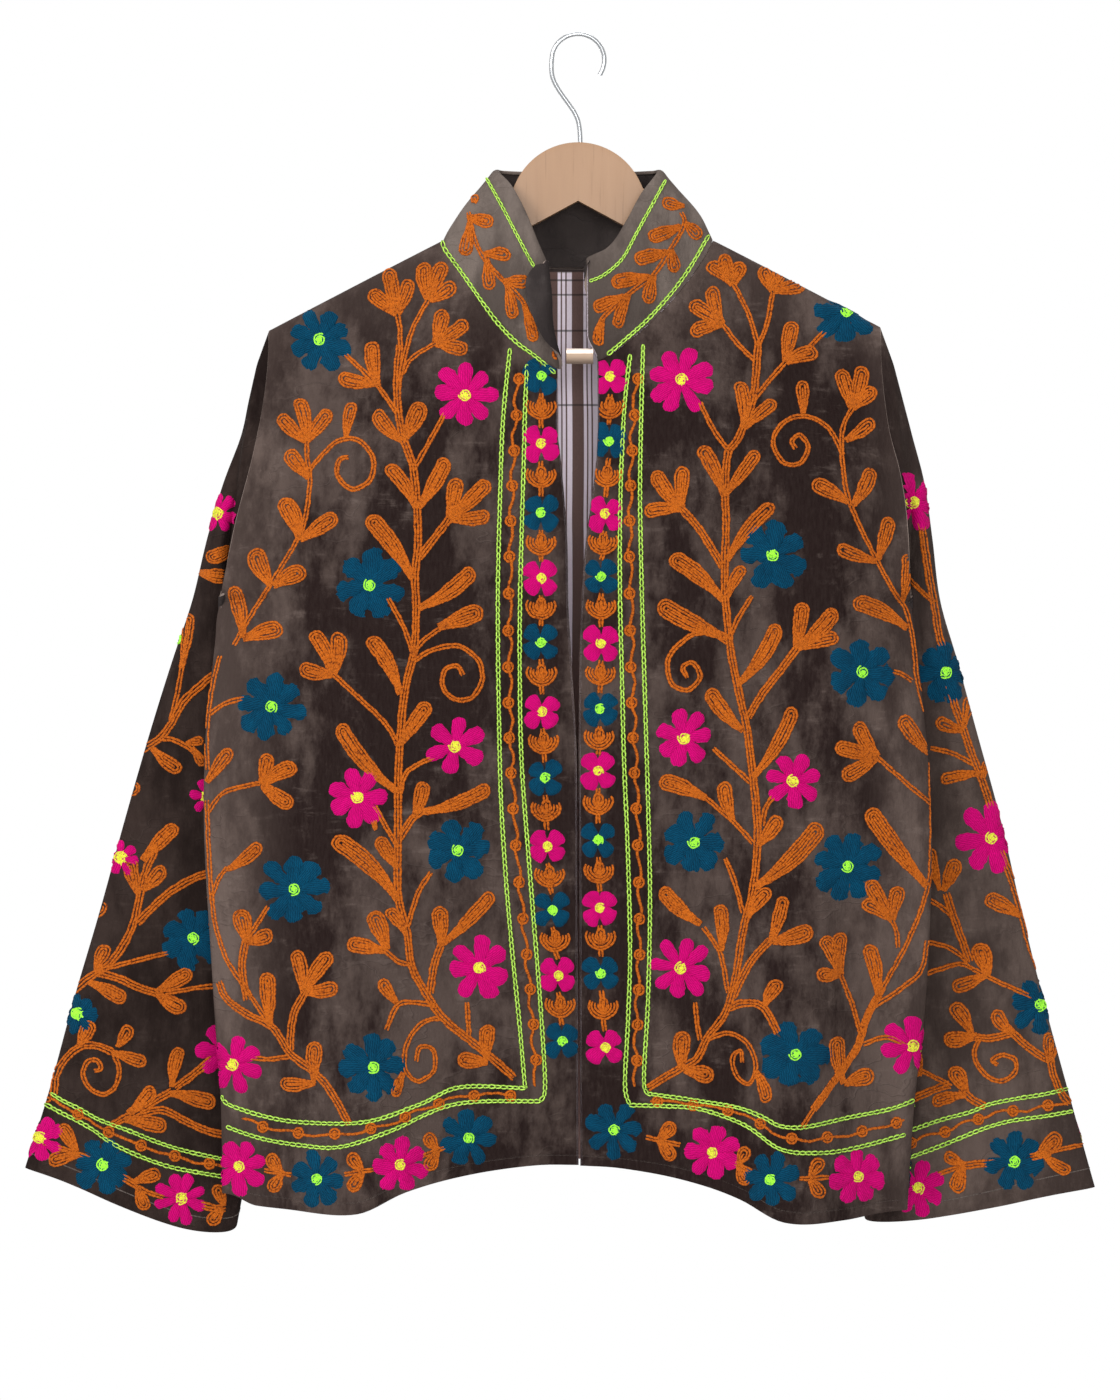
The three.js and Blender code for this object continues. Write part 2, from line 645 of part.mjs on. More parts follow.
function collarGrid(seam) {
  const grid = [];
  for (let row = 0; row <= COLLAR_ROWS; row++) {
    const height = row / COLLAR_ROWS;
    const line = seam.map(({ station, point }) => {
      const top = collarTop(station);
      const rise = top.clone().sub(point).normalize();
      const base = point.clone().addScaledVector(rise, SEAM_GAP);
      const out = new THREE.Vector3(top.x, top.y, 0).normalize();
      const place = base.clone().lerp(top, height);
      place.addScaledVector(out, COLLAR_BOW * 4 * height * (1 - height));
      return place;
    });
    // The left front end stands past the front's edge, over the gap.
    const reach = smooth(row / COLLAR_LEFT_END_ROWS);
    const last = line.length - 1;
    line[last].x = mix(line[last].x, COLLAR_LEFT_END, reach);
    line[last - 1].x -= COLLAR_LEFT_EASE * reach;
    grid.push([...collarFlap(line, FLAP_LENGTH[row]), ...line]);
  }
  return grid;
}

// The turned-over end, from its free edge to the collar: a roll outwards, then flat.
function collarFlap(line, length) {
  const end = line[0];
  const towards = end.clone().sub(line[1]).normalize();
  const out = new THREE.Vector3(towards.y, -towards.x, 0).normalize();
  const turn = Math.PI * FLAP_RADIUS;
  const flap = [];
  for (let column = FLAP_COLUMNS; column > 0; column--) {
    const run = (length * column) / FLAP_COLUMNS;
    const angle = Math.min(run, turn) / FLAP_RADIUS;
    const forward = FLAP_RADIUS * Math.sin(angle) - Math.max(0, run - turn);
    const outward = FLAP_RADIUS * (1 - Math.cos(angle));
    flap.push(end.clone().addScaledVector(towards, forward).addScaledVector(out, outward));
  }
  return flap;
}

function collarMesh() {
  const seam = neckSeam();
  const grid = collarGrid(seam);
  const directions = inwardDirections(grid, false, 1);
  seam.forEach(({ direction }, i) => directions[0][FLAP_COLUMNS + i].copy(direction));
  return clothMesh('collar', wallBetween(grid, moved(grid, directions, CLOTH), false));
}

// ---------- hanger ----------
function solidOf(geometry) {
  const bare = geometry.clone();
  bare.deleteAttribute('normal');
  bare.deleteAttribute('uv');
  const merged = mergeVertices(bare, 1e-4);
  return new wasm.Manifold(new wasm.Mesh({
    numProp: 3,
    vertProperties: new Float32Array(merged.attributes.position.array),
    triVerts: new Uint32Array(merged.index.array),
  }));
}

function geometryOf(solid) {
  const mesh = solid.getMesh();
  const geometry = new THREE.BufferGeometry();
  geometry.setAttribute('position', new THREE.BufferAttribute(mesh.vertProperties, 3));
  geometry.setIndex(new THREE.BufferAttribute(mesh.triVerts, 1));
  geometry.computeVertexNormals();
  return geometry;
}

function hangerOutline() {
  const armTop = (x) => shoulderHeight(x, TIP_X.right) - HANGER.shoulderClearance;
  const armUnder = (x) => HANGER.peakZ - HANGER.underSlope * x;
  const half = [];
  const { points, neckBend } = HANGER;
  const headEnd = Math.PI / 9;
  for (let i = 0; i <= points.head; i++) {
    const angle = mix(Math.PI / 2, headEnd, i / points.head);
    const x = HANGER.headRadius * Math.cos(angle);
    half.push(new THREE.Vector2(x, HANGER.headZ + HANGER.headRadius * Math.sin(angle)));
  }
  const neckFrom = half[half.length - 1];
  const neckTo = new THREE.Vector2(HANGER.armStart, armTop(HANGER.armStart));
  const bend = new THREE.Vector2(neckBend.x, neckBend.z);
  const neck = new THREE.QuadraticBezierCurve(neckFrom, bend, neckTo);
  half.push(...neck.getPoints(points.neck).slice(1));
  const endMiddle = (armTop(HANGER.armEnd) + armUnder(HANGER.armEnd)) / 2;
  const endHalf = (armTop(HANGER.armEnd) - armUnder(HANGER.armEnd)) / 2;
  const arm = HANGER.armEnd - endHalf;
  for (let i = 1; i <= points.arm; i++) {
    const x = mix(HANGER.armStart, arm, i / points.arm);
    half.push(new THREE.Vector2(x, armTop(x)));
  }
  for (let i = 1; i < points.end; i++) {
    const angle = mix(Math.PI / 2, -Math.PI / 2, i / points.end);
    const x = arm + endHalf * Math.cos(angle);
    half.push(new THREE.Vector2(x, endMiddle + endHalf * Math.sin(angle)));
  }
  half.push(new THREE.Vector2(arm, armUnder(arm)));
  const mirrored = half.slice(1).reverse().map((point) => new THREE.Vector2(-point.x, point.y));
  return [...half, new THREE.Vector2(0, HANGER.peakZ), ...mirrored];
}

function hangerMesh() {
  const depth = 2 * (HANGER.halfThickness - HANGER.rounding);
  const body = new THREE.ExtrudeGeometry(new THREE.Shape(hangerOutline()), {
    depth,
    bevelEnabled: true,
    bevelThickness: HANGER.rounding,
    bevelSize: HANGER.rounding,
    bevelOffset: -HANGER.rounding,
    bevelSegments: 3,
  });
  body.translate(0, 0, -depth / 2);
  body.rotateX(Math.PI / 2);
  const socketLength = 2 * HANGER.socketDepth;
  const socket = new THREE.CylinderGeometry(HOOK.socket / 2, HOOK.socket / 2, socketLength, 12);
  socket.rotateX(Math.PI / 2);
  socket.translate(HOOK.stem, 0, HANGER.headZ + HANGER.headRadius);
  const wood = geometryOf(solidOf(body).subtract(solidOf(socket)));
  return namedMesh('hanger_body', wood, COLORS.wood, 0.45, 0);
}

// The hook's wire: the open loop, its back, and the stem down into the wood.
function hookMesh() {
  const centreZ = HOOK.wire / 2 - HOOK.loopRadius;
  const points = [];
  for (let degrees = -HOOK.openEnd; degrees <= 180; degrees += HOOK.loopStep) {
    const angle = THREE.MathUtils.degToRad(degrees);
    const x = HOOK.loopRadius * Math.cos(angle);
    points.push(new THREE.Vector3(x, 0, centreZ + HOOK.loopRadius * Math.sin(angle)));
  }
  const headTop = HANGER.headZ + HANGER.headRadius;
  points.push(...HOOK.neck.map(([x, z]) => new THREE.Vector3(x, 0, z)));
  points.push(new THREE.Vector3(HOOK.stem, 0, headTop));
  points.push(new THREE.Vector3(HOOK.stem, 0, headTop - HANGER.socketDepth + SEAM_GAP));
  const route = new THREE.CatmullRomCurve3(points);
  const section = new THREE.Shape();
  section.absarc(0, 0, HOOK.wire / 2, 0, 2 * Math.PI);
  const wire = new THREE.ExtrudeGeometry(section, {
    steps: HOOK.steps,
    curveSegments: HOOK.sides,
    extrudePath: route,
  });
  return namedMesh('hanger_hook', wire, COLORS.steel, 0.3, 1);
}

// ---------- clasp ----------
// A sheet-metal hook across the gap at the base of the collar, rolled at its upper edge.
function claspMesh() {
  const section = new THREE.Shape();
  section.absarc(0, 0, CLASP.roll, -Math.PI / 2, Math.PI, false);
  section.lineTo(-CLASP.roll, -CLASP.height + CLASP.roll);
  section.lineTo(CLASP.sheet - CLASP.roll, -CLASP.height + CLASP.roll);
  section.lineTo(CLASP.sheet - CLASP.roll, -CLASP.roll);
  const plate = new THREE.ExtrudeGeometry(section, {
    depth: CLASP.width,
    bevelEnabled: false,
    curveSegments: 10,
  });
  plate.translate(0, 0, -CLASP.width / 2);
  plate.rotateY(Math.PI / 2);
  plate.rotateX(Math.PI / 2);
  const mesh = namedMesh('clasp', plate, COLORS.clasp, 0.35, 1);
  mesh.position.set(CLASP.x, CLASP.y, CLASP.z);
  mesh.rotation.set(CLASP.lean, 0, CLASP.turn);
  return mesh;
}

// ---------- the part ----------
const jacket = new THREE.Group();
for (const side of Object.keys(SIDES)) {
  const directions = frontDirections[side];
  jacket.add(panelMesh(`front_${side}`, fronts[side], directions, [FRONT_COLUMNS], -1));
}
jacket.add(panelMesh('back', back, backDirections, [0, 2 * BACK_COLUMNS], 1));
jacket.add(liningMesh());
jacket.add(sleeveMesh('right'));
jacket.add(sleeveMesh('left'));
jacket.add(collarMesh());
jacket.add(claspMesh());

const hanger = new THREE.Group();
hanger.add(hangerMesh());
hanger.add(hookMesh());

const part = new THREE.Group();
part.add(jacket, hanger);

export default part;
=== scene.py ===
# Embroidered velvet jacket on a wooden hanger: the visible model.
# Lengths are worked out in millimetres and turned into metres when a piece is finished.
# +Z is up, the fronts face -Y. Right and left are the wearer's: the right side lies at -X.
import math
import random

import bmesh
import bpy
from mathutils import Matrix, Vector, noise
from mathutils.bvhtree import BVHTree


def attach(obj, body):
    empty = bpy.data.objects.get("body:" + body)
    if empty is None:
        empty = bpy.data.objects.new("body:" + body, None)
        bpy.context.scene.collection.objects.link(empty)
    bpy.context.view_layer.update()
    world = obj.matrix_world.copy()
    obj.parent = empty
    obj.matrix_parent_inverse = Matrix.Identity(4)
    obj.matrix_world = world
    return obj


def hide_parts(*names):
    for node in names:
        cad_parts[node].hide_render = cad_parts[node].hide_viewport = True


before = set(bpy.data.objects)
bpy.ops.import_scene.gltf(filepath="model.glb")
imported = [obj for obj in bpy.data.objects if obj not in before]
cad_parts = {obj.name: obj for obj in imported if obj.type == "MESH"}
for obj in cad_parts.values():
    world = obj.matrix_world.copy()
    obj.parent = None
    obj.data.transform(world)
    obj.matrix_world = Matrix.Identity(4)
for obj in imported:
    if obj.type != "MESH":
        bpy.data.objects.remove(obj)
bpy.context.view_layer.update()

# ---------- driving dimensions ----------
# The jacket's form: widths, depths and heights, and the exponents that round it.
CLOTH = 2.2  # velvet and lining together
COLLAR_CLOTH = 2.4  # velvet, interlining and facing
LINING_CLOTH = 0.6
SEAM_GAP = 0.3
NECK_X, NECK_Z = 97, -147
SHOULDER_SLOPE = 0.53
SHOULDER_ROUNDING = 30
TIP_X = {"right": 222, "left": 217}
UNDERARM_Z = -405
CREST_RADIUS = 9
FRONT_REACH, BACK_REACH = 80, 35
CREST_FALL = 1.5
NECKLINE_BEND = 1.6
BACK_NECK_DROP = 17
NECK_FRONT = {"right": (15, -243), "left": (14, -237)}
ARMHOLE_HALF, ARMHOLE_REACH, ARMHOLE_CLOSE, ARMHOLE_TO_SIDE = 12, 30, 16, 110
TOP_TO_BODY = 150
TUBE_ROUNDNESS = 0.7
UNDERARM_EASE = -0.5  # the sleeve tucks in behind the front under the arm
CUFF_DIP = {"right": 16, "left": 7}
COLLAR_BOW = 3.5
FLAP_RADIUS = 4
ROLL, ROLL_SHARE = 2.5, 0.2
FLAP_SHARE = 0.12  # the turned-over end's share of the collar's columns
COLLAR_LEFT_END = 6.5
SIDES = {"right": -1, "left": 1}
SIDE_HEM = {"right": -831, "left": -843}
FOLDS_OPEN_Z = -840  # the folds are fully open at this height
CROWDING = 1.8  # columns stand closer towards the sides
FRONT_NECK_SHARE, BACK_NECK_SHARE = 0.25, 4 / 14  # the columns that end at the neck
UNDERARM_STEP = 15  # steps from the shoulder down one side of the armhole
ARMHOLE_STEPS = 2 * UNDERARM_STEP

# Columns and rows of each sheet's grid.
FRONT_GRID = (66, 176)
BACK_GRID = (100, 124)
SLEEVE_GRID = (120, 98)
COLLAR_GRID = (200, 29)
LINING_GRID = (60, 130)
HANGER_GRID = (220, 10)

# The lining's pressed folds, the distance at which its stripes repeat, and the stripes.
LINING_FOLDS = (-172.5, -183, -209.2, -263.2)
STRIPE_REPEAT = 18.7
STRIPES = ((0.1, 2.6), (3.3, 5.9), (6.7, 10.7))

EYE = Vector((-13.0, -3200.0, -478.0))  # where the camera stands
VIEW_HEIGHT = 1008  # what the camera sees from top to bottom, in the hanger's plane
SENSOR = 36
STEP = 0.72  # one step of the embroidery's layout
LAYOUT = (578, 36)  # the hook's place in the layout


def clamp(value, low=0.0, high=1.0):
    return min(high, max(low, value))


def mix(start, end, share):
    return start + (end - start) * share


def smooth(value):
    value = clamp(value)
    return value * value * (3 - 2 * value)


class Table:
    """Smooth curves through rows of numbers, each against the first column."""

    def __init__(self, names, *rows):
        self.columns = {name: [row[i] for row in rows] for i, name in enumerate(names.split())}
        self.key = self.columns[names.split()[0]]

    def __call__(self, name, at):
        key, values = self.key, self.columns[name]
        rising = 1 if key[1] > key[0] else -1
        i = 0
        while i < len(key) - 2 and rising * (at - key[i + 1]) > 0:
            i += 1
        span = key[i + 1] - key[i]
        share = clamp((at - key[i]) / span)
        a, b = max(0, i - 1), min(len(key) - 1, i + 2)
        start = (values[i + 1] - values[a]) / (key[i + 1] - key[a]) * span
        end = (values[b] - values[i]) / (key[b] - key[i]) * span
        blend = mix(values[i], values[i + 1], share * share * (3 - 2 * share))
        return blend + start * share * (1 - share) ** 2 + end * share * share * (share - 1)


BODY = Table(
    "z right left front back side",
    (-209, 222, 217, 52, 42, 0), (-235, 228, 221, 52, 42, -1), (-255, 232, 224, 52, 42, -3),
    (-284, 236, 227.5, 53, 40, -6), (-312, 239, 233, 54, 38, -9), (-356, 246, 235.5, 55, 36, -12),
    (-405, 256, 238, 55, 34, -14), (-420, 259, 240, 55, 33.5, -14.5),
    (-435, 260, 242, 55, 33, -15), (-492, 266, 248, 54, 32, -17),
    (-543, 268, 252, 53, 31, -18), (-593, 267, 253, 51, 30, -19), (-658, 263, 251, 48, 30, -19),
    (-708, 260, 247.5, 45, 30, -18), (-766, 256, 241, 41, 31, -17), (-840, 255, 236, 37, 32, -16),
)
FRONT_EDGE = Table(
    "z right left",
    (-170, 15, 14), (-243, 15, 15), (-281, 15.5, 14), (-305, 9, 11.5), (-345, 7.2, 6.5),
    (-406, 7.2, 2.2), (-447, 5, 0.8), (-514, 1.2, 0.2), (-620, 0.6, 0.6), (-830, -0.4, 1.6),
)
HEM = Table(
    "share right left back",
    (0, -810, -810.5, -812), (0.12, -810, -812, -813), (0.3, -815.5, -819, -816),
    (0.48, -826, -832, -820), (0.61, -840, -846, -825), (0.8, -840, -847, -829),
    (0.92, -838, -844, -831), (1, -831, -843, -831),
)
# Folds that open towards the hem: middle, half width, start, lean, and how far they stand proud.
FRONT_FOLDS = (
    (-157, 72, -500, -16, 38), (-222, 24, -600, 6, -5), (0, 78, -560, 0, -13),
    (151, 62, -480, 14, 40), (106, 30, -560, 4, -7), (215, 26, -620, 2, -6),
)
BACK_FOLDS = ((-120, 48, -470, -10, 15), (-8, 44, -520, 4, 10), (108, 50, -440, 12, 17))
SLEEVES = {
    "right": Table(
        "row px pz qx qz py qy half",
        (1, 231, -236, 256, -412, 0, -9, 12), (2, 237, -262, 256, -424, 2, -3, 13),
        (3, 243, -288, 256, -442, 4, 8, 10), (4, 256, -322, 254, -464, 8, 13, 18),
        (5, 268, -362, 252, -488, 12, 18, 20), (6, 279, -406, 243, -517, 17, 20, 21),
        (7, 294, -450, 234, -556, 21, 25, 20), (8, 310, -500, 227, -600, 25, 28, 19),
        (9, 329, -565, 223, -650, 28, 30, 19), (10, 347, -630, 224, -702, 30, 31, 18),
        (11, 366, -695, 229, -752, 29, 30, 17), (12, 384, -762, 238, -806, 27, 28, 15),
        (13, 401, -817, 247, -856, 25, 26, 14),
    ),
    "left": Table(
        "row px pz qx qz py qy half",
        (1, 227, -236, 238, -412, 0, -9, 12), (2, 234, -262, 237, -424, 2, 2, 13),
        (3, 241, -288, 236, -440, 4, 12, 12), (4, 250, -322, 234, -462, 8, 15, 18),
        (5, 256, -362, 233, -488, 12, 19, 20), (6, 262, -406, 229, -517, 17, 20, 21),
        (7, 275, -450, 220, -556, 21, 25, 20), (8, 289, -500, 212, -600, 25, 28, 19),
        (9, 307, -565, 206, -650, 28, 30, 19), (10, 322, -630, 203, -702, 30, 31, 18),
        (11, 338, -695, 203, -752, 29, 30, 17), (12, 356, -762, 205, -806, 27, 28, 15),
        (13, 375, -831, 208, -853, 25, 26, 14),
    ),
}
LAST_RING = 13
COLLAR_TOP = Table(
    "station x y z",
    (0, -24, -39, -168.5), (0.25, -32, -37, -152), (0.5, -41, -32, -132), (0.75, -52, -23, -112),
    (1, -62, -6, -99.5), (1.2, -57, 12, -98), (1.35, -40, 23, -97.5), (1.5, 0, 29, -97),
    (1.65, 40, 23, -97.5), (1.8, 57, 12, -98), (2, 62, -6, -100), (2.25, 50, -24, -117),
    (2.5, 38, -32, -138), (2.75, 25, -37, -156), (3, 6.3, -40, -168),
)
FLAP = Table("height run", (0, 1.5), (0.2, 10), (0.4, 24), (0.6, 33), (0.8, 27), (1, 12))
# Where the armhole's rows lie, close together at the shoulder's crest and at the underarm.
ARMHOLE_ROWS = (
    0, 0.0017, 0.0056, 0.0142, 0.03, 0.055, 0.09, 0.13, 0.17, 0.21, 0.245, 0.273, 0.2926, 0.304,
    0.3096, 0.312,
)
HANGER = {
    "radius": 49, "middle": -126, "thick": 9.6, "peak": -119, "slope": 0.54, "end": 213,
    "clear": 4.6, "arm": 78, "turn": math.pi / 9, "dip": -128,
}

# Creases: layout points along each, half width in mm, and height in mm (less than 0 is a trough).
FRONT_CREASES = (
    (((283, 318), (300, 372), (318, 430)), 15, -3.2), (((262, 352), (290, 420), (300, 500)), 14, 2.6),
    (((252, 424), (278, 416), (310, 420)), 6, -2.6), (((250, 470), (290, 482), (330, 478)), 10, -1.6),
    (((236, 560), (262, 548), (300, 556)), 8, -2.2), (((232, 588), (262, 596), (300, 590)), 9, 1.8),
    (((222, 640), (262, 632), (310, 642)), 9, -1.9), (((340, 300), (352, 380), (350, 470)), 17, -2.4),
    (((420, 300), (440, 420), (436, 560)), 20, 2.0), (((470, 330), (482, 470), (476, 640)), 14, -1.7),
    (((300, 650), (292, 760), (280, 880)), 18, -3.0), (((245, 700), (238, 820), (242, 960)), 12, 2.6),
    (((402, 640), (408, 800), (398, 960)), 20, -2.2), (((330, 780), (322, 900), (312, 1020)), 16, 2.4),
    (((455, 700), (468, 860), (462, 1060)), 16, -2.0), (((300, 1030), (268, 1080), (232, 1110)), 12, -2.2),
    (((870, 330), (852, 400), (842, 470)), 15, -3.0), (((893, 380), (866, 450), (862, 540)), 12, 2.6),
    (((900, 440), (872, 452), (846, 448)), 6, -2.4), (((905, 560), (874, 566), (842, 556)), 9, -1.9),
    (((914, 640), (880, 646), (850, 636)), 9, 1.8), (((730, 290), (728, 350), (738, 420)), 9, -2.8),
    (((700, 300), (716, 420), (712, 560)), 18, 2.2), (((815, 300), (800, 400), (806, 500)), 17, -2.4),
    (((826, 540), (832, 680), (820, 820)), 15, 3.0), (((858, 600), (872, 760), (868, 900)), 15, -2.8),
    (((764, 520), (758, 700), (748, 860)), 22, -2.8), (((690, 560), (682, 740), (690, 920)), 18, 2.0),
    (((812, 800), (816, 940), (812, 1080)), 11, 3.4), (((842, 860), (846, 980), (850, 1100)), 12, -3.6),
    (((905, 760), (914, 880), (906, 1010)), 12, -2.6), (((640, 700), (648, 900), (640, 1080)), 13, -1.6),
)
BACK_CREASES = (
    (((330, 300), (352, 400), (356, 520)), 20, -3.0), (((820, 300), (800, 400), (794, 520)), 20, -3.0),
    (((250, 440), (290, 430), (350, 452)), 10, -2.6), (((900, 450), (862, 436), (810, 456)), 10, -2.6),
    (((460, 280), (480, 420), (474, 620)), 24, 2.4), (((690, 280), (672, 420), (684, 620)), 24, 2.4),
    (((578, 300), (572, 500), (582, 700)), 22, -2.0), (((300, 600), (310, 780), (296, 1000)), 20, 3.0),
    (((860, 600), (846, 780), (862, 1000)), 20, 3.0), (((350, 700), (362, 860), (350, 1090)), 16, -3.0),
    (((800, 700), (792, 860), (806, 1090)), 16, -3.0), (((520, 680), (512, 860), (520, 1080)), 20, -2.4),
    (((640, 690), (652, 880), (640, 1080)), 20, 2.2), (((240, 560), (280, 552), (330, 566)), 10, 2.0),
    (((905, 600), (870, 590), (830, 604)), 10, 2.0),
)


def rows_between(x, z):
    """Layout place of a point in the hanger's plane."""
    return x / STEP + LAYOUT[0], -z / STEP + LAYOUT[1]


def crease_depth(creases, x, z):
    """How far the creases lift the cloth at a place."""
    px, py = rows_between(x, z)
    lift = 0.0
    for points, half, height in creases:
        reach = half / STEP * 2.4
        best, at = 1e9, 0.0
        for i in range(len(points) - 1):
            (ax, ay), (bx, by) = points[i], points[i + 1]
            dx, dy = bx - ax, by - ay
            share = clamp(((px - ax) * dx + (py - ay) * dy) / (dx * dx + dy * dy))
            far = math.hypot(px - ax - dx * share, py - ay - dy * share)
            if far < best:
                best, at = far, (i + share) / (len(points) - 1)
        if best < reach:
            width = half / STEP * (0.7 + 0.6 * at)
            taper = smooth(min(at, 1 - at) * 4 + 0.05)
            lift += height * taper * math.exp(-1.4 * (best / width) ** 2)
    return lift


def ripple(x, z, seed, size=1.0):
    """Small unevenness that cloth has everywhere."""
    wide = noise.noise(Vector((x / 62, seed, z / 90)))
    fine = noise.noise(Vector((x / 21, seed + 5, z / 27)))
    return size * (1.5 * wide + 0.55 * fine)


# ---------- the jacket's form ----------
def shoulder_height(x, tip):
    """The shoulder slopes from the neck to its tip and is rounded at the neck."""
    across = min(abs(x), tip)
    spread = math.hypot(across, SHOULDER_ROUNDING) - math.hypot(NECK_X, SHOULDER_ROUNDING)
    return NECK_Z - SHOULDER_SLOPE * spread


def over_shoulder(drop, depth, reach):
    """Depth at a drop below the crest: round over the crest, then easing to its full depth."""
    if drop < CREST_RADIUS:
        return math.sqrt(max(0, drop * (2 * CREST_RADIUS - drop)))
    fall = ((drop - CREST_RADIUS) / reach) ** CREST_FALL
    return CREST_RADIUS + (depth - CREST_RADIUS) * (1 - math.exp(-fall))


def fold_depth(folds, x, z):
    """How far the folds that open towards the hem stand proud."""
    depth = 0.0
    for middle, half, start, lean, proud in folds:
        opened = clamp((start - z) / (start - FOLDS_OPEN_Z))
        if opened > 0:
            width = half * mix(0.6, 1, opened)
            off = (x - middle + lean * (1 - opened)) / width
            depth += proud * opened ** 1.3 * math.exp(-1.8 * off * off)
    return depth


def side_seam(side, x, z):
    """Depth of the side seam's middle, and how far the armhole opens it."""
    tip_z = shoulder_height(TIP_X[side], TIP_X[side])
    drop = shoulder_height(x, TIP_X[side]) - z
    rise = clamp((tip_z - drop - UNDERARM_Z) / ARMHOLE_CLOSE)
    closing = math.sqrt(1 - (1 - rise) ** 2)
    return BODY("side", tip_z - drop), over_shoulder(drop, ARMHOLE_HALF, ARMHOLE_REACH) * closing


def crowned(side, x, z, folds, creases, facing):
    """Depth of a front (facing -1) or of the back (facing 1)."""
    seam, opened = side_seam(side, x, z)
    drop = shoulder_height(x, TIP_X[side]) - z
    name, reach = ("front", FRONT_REACH) if facing < 0 else ("back", BACK_REACH)
    full = over_shoulder(drop, BODY(name, z), reach) + fold_depth(folds, x, z)
    share = clamp(abs(x) / BODY(side, z))
    arm = smooth(1 - (UNDERARM_Z - z) / ARMHOLE_TO_SIDE)
    if facing < 0:
        round_side = math.sqrt(1 - share ** 4)
    else:
        round_side = 0.14 * math.sqrt(1 - share ** 8) + 0.86 * smooth((0.9 - share) / 0.5)
    crown = mix(round_side, 1 - share ** 5, arm)
    depth = mix(seam + facing * opened, facing * full, crown) + facing * SEAM_GAP / 2
    quiet = smooth(drop / 45) * smooth((1 - share) / 0.09)
    lift = crease_depth(creases, x, z) + ripple(x, z, 3.7 * facing)
    return depth + facing * quiet * lift


def front_depth(side, x, z):
    return crowned(side, x, z, FRONT_FOLDS, FRONT_CREASES, -1)


def back_depth(side, x, z):
    return crowned(side, x, z, BACK_FOLDS, BACK_CREASES, 1)


def crowd(share):
    """Columns crowd together towards the side seam."""
    return 1 - (1 - share) ** CROWDING


def shoulder_point(side, share, first):
    """A place on the shoulder seam, by the share of the columns across."""
    start = crowd(first)
    x = mix(NECK_X, TIP_X[side], (crowd(share) - start) / (1 - start))
    return x, shoulder_height(x, TIP_X[side])


def front_top(side, share):
    """The front's upper edge: the neckline, then the shoulder seam."""
    if share <= FRONT_NECK_SHARE:
        angle = share * 2 * math.pi
        x, z = NECK_FRONT[side]
        out = math.sin(angle) ** NECKLINE_BEND
        up = 1 - max(0.0, math.cos(angle)) ** NECKLINE_BEND
        return mix(x, NECK_X, out), mix(z, NECK_Z, up)
    return shoulder_point(side, share, FRONT_NECK_SHARE)


def back_top(side, share):
    """The back's upper edge, from its middle outwards."""
    if share <= BACK_NECK_SHARE:
        across = share / BACK_NECK_SHARE
        return NECK_X * across, NECK_Z - BACK_NECK_DROP * (1 - across ** 2.5)
    return shoulder_point(side, share, BACK_NECK_SHARE)


def panel_point(side, top, share, hem, middle, down, depth):
    """A place on a panel, down from its upper edge; middle gives its inner edge by height."""
    z = mix(top[1], hem, down)
    loose = smooth((top[1] - z) / TOP_TO_BODY)
    x = mix(top[0], mix(middle(z), BODY(side, z), share), loose) * SIDES[side]
    return Vector((x, depth(side, x, z), z))


def front_point(side, share, down):
    hem = mix(HEM(side, crowd(share)), SIDE_HEM[side], smooth((crowd(share) - 0.9) / 0.1))
    edge = lambda z: FRONT_EDGE(side, z)
    return panel_point(side, front_top(side, share), crowd(share), hem, edge, down, front_depth)


def back_point(across, down):
    side = "right" if across < 0 else "left"
    share = abs(across)
    hem = mix(HEM("back", crowd(share)), SIDE_HEM[side], smooth((crowd(share) - 0.6) / 0.4))
    middle = lambda z: 0
    return panel_point(side, back_top(side, share), crowd(share), hem, middle, down, back_depth)


def rows_from_crest(down):
    """Rows stand closer over the shoulder's crest."""
    return down * (0.12 + 0.88 * smooth(down / 0.16)) if down < 0.16 else down


def armhole_point(side, step):
    """A place on the armhole's loop, whose steps go down the front and then up the back."""
    row = step if step <= UNDERARM_STEP else ARMHOLE_STEPS - step
    low = min(UNDERARM_STEP - 1, int(row))
    down = mix(ARMHOLE_ROWS[low], ARMHOLE_ROWS[low + 1], row - low)
    front = front_point(side, 1, down)
    rear = back_point(SIDES[side], down)
    if row < 1e-6 or row > UNDERARM_STEP - 1e-6:
        return front.lerp(rear, 0.5)
    return front if step <= UNDERARM_STEP else rear


SLEEVE_CREASES = (  # ring, share across, half length in rings, half width, height
    (1.6, 0.30, 1.6, 0.12, 2.6), (2.6, 0.62, 1.8, 0.10, -2.6), (3.8, 0.40, 1.5, 0.14, -3.2),
    (4.6, 0.78, 1.2, 0.10, 2.4), (5.4, 0.24, 1.6, 0.13, 2.6), (6.4, 0.55, 1.4, 0.12, -2.4),
    (7.6, 0.30, 1.8, 0.14, -2.8), (8.6, 0.70, 1.6, 0.12, 2.8), (9.8, 0.46, 1.8, 0.12, -2.6),
    (11.0, 0.24, 1.8, 0.12, 2.2), (12.0, 0.66, 1.6, 0.14, -2.6), (12.8, 0.40, 1.6, 0.12, 2.4),
)


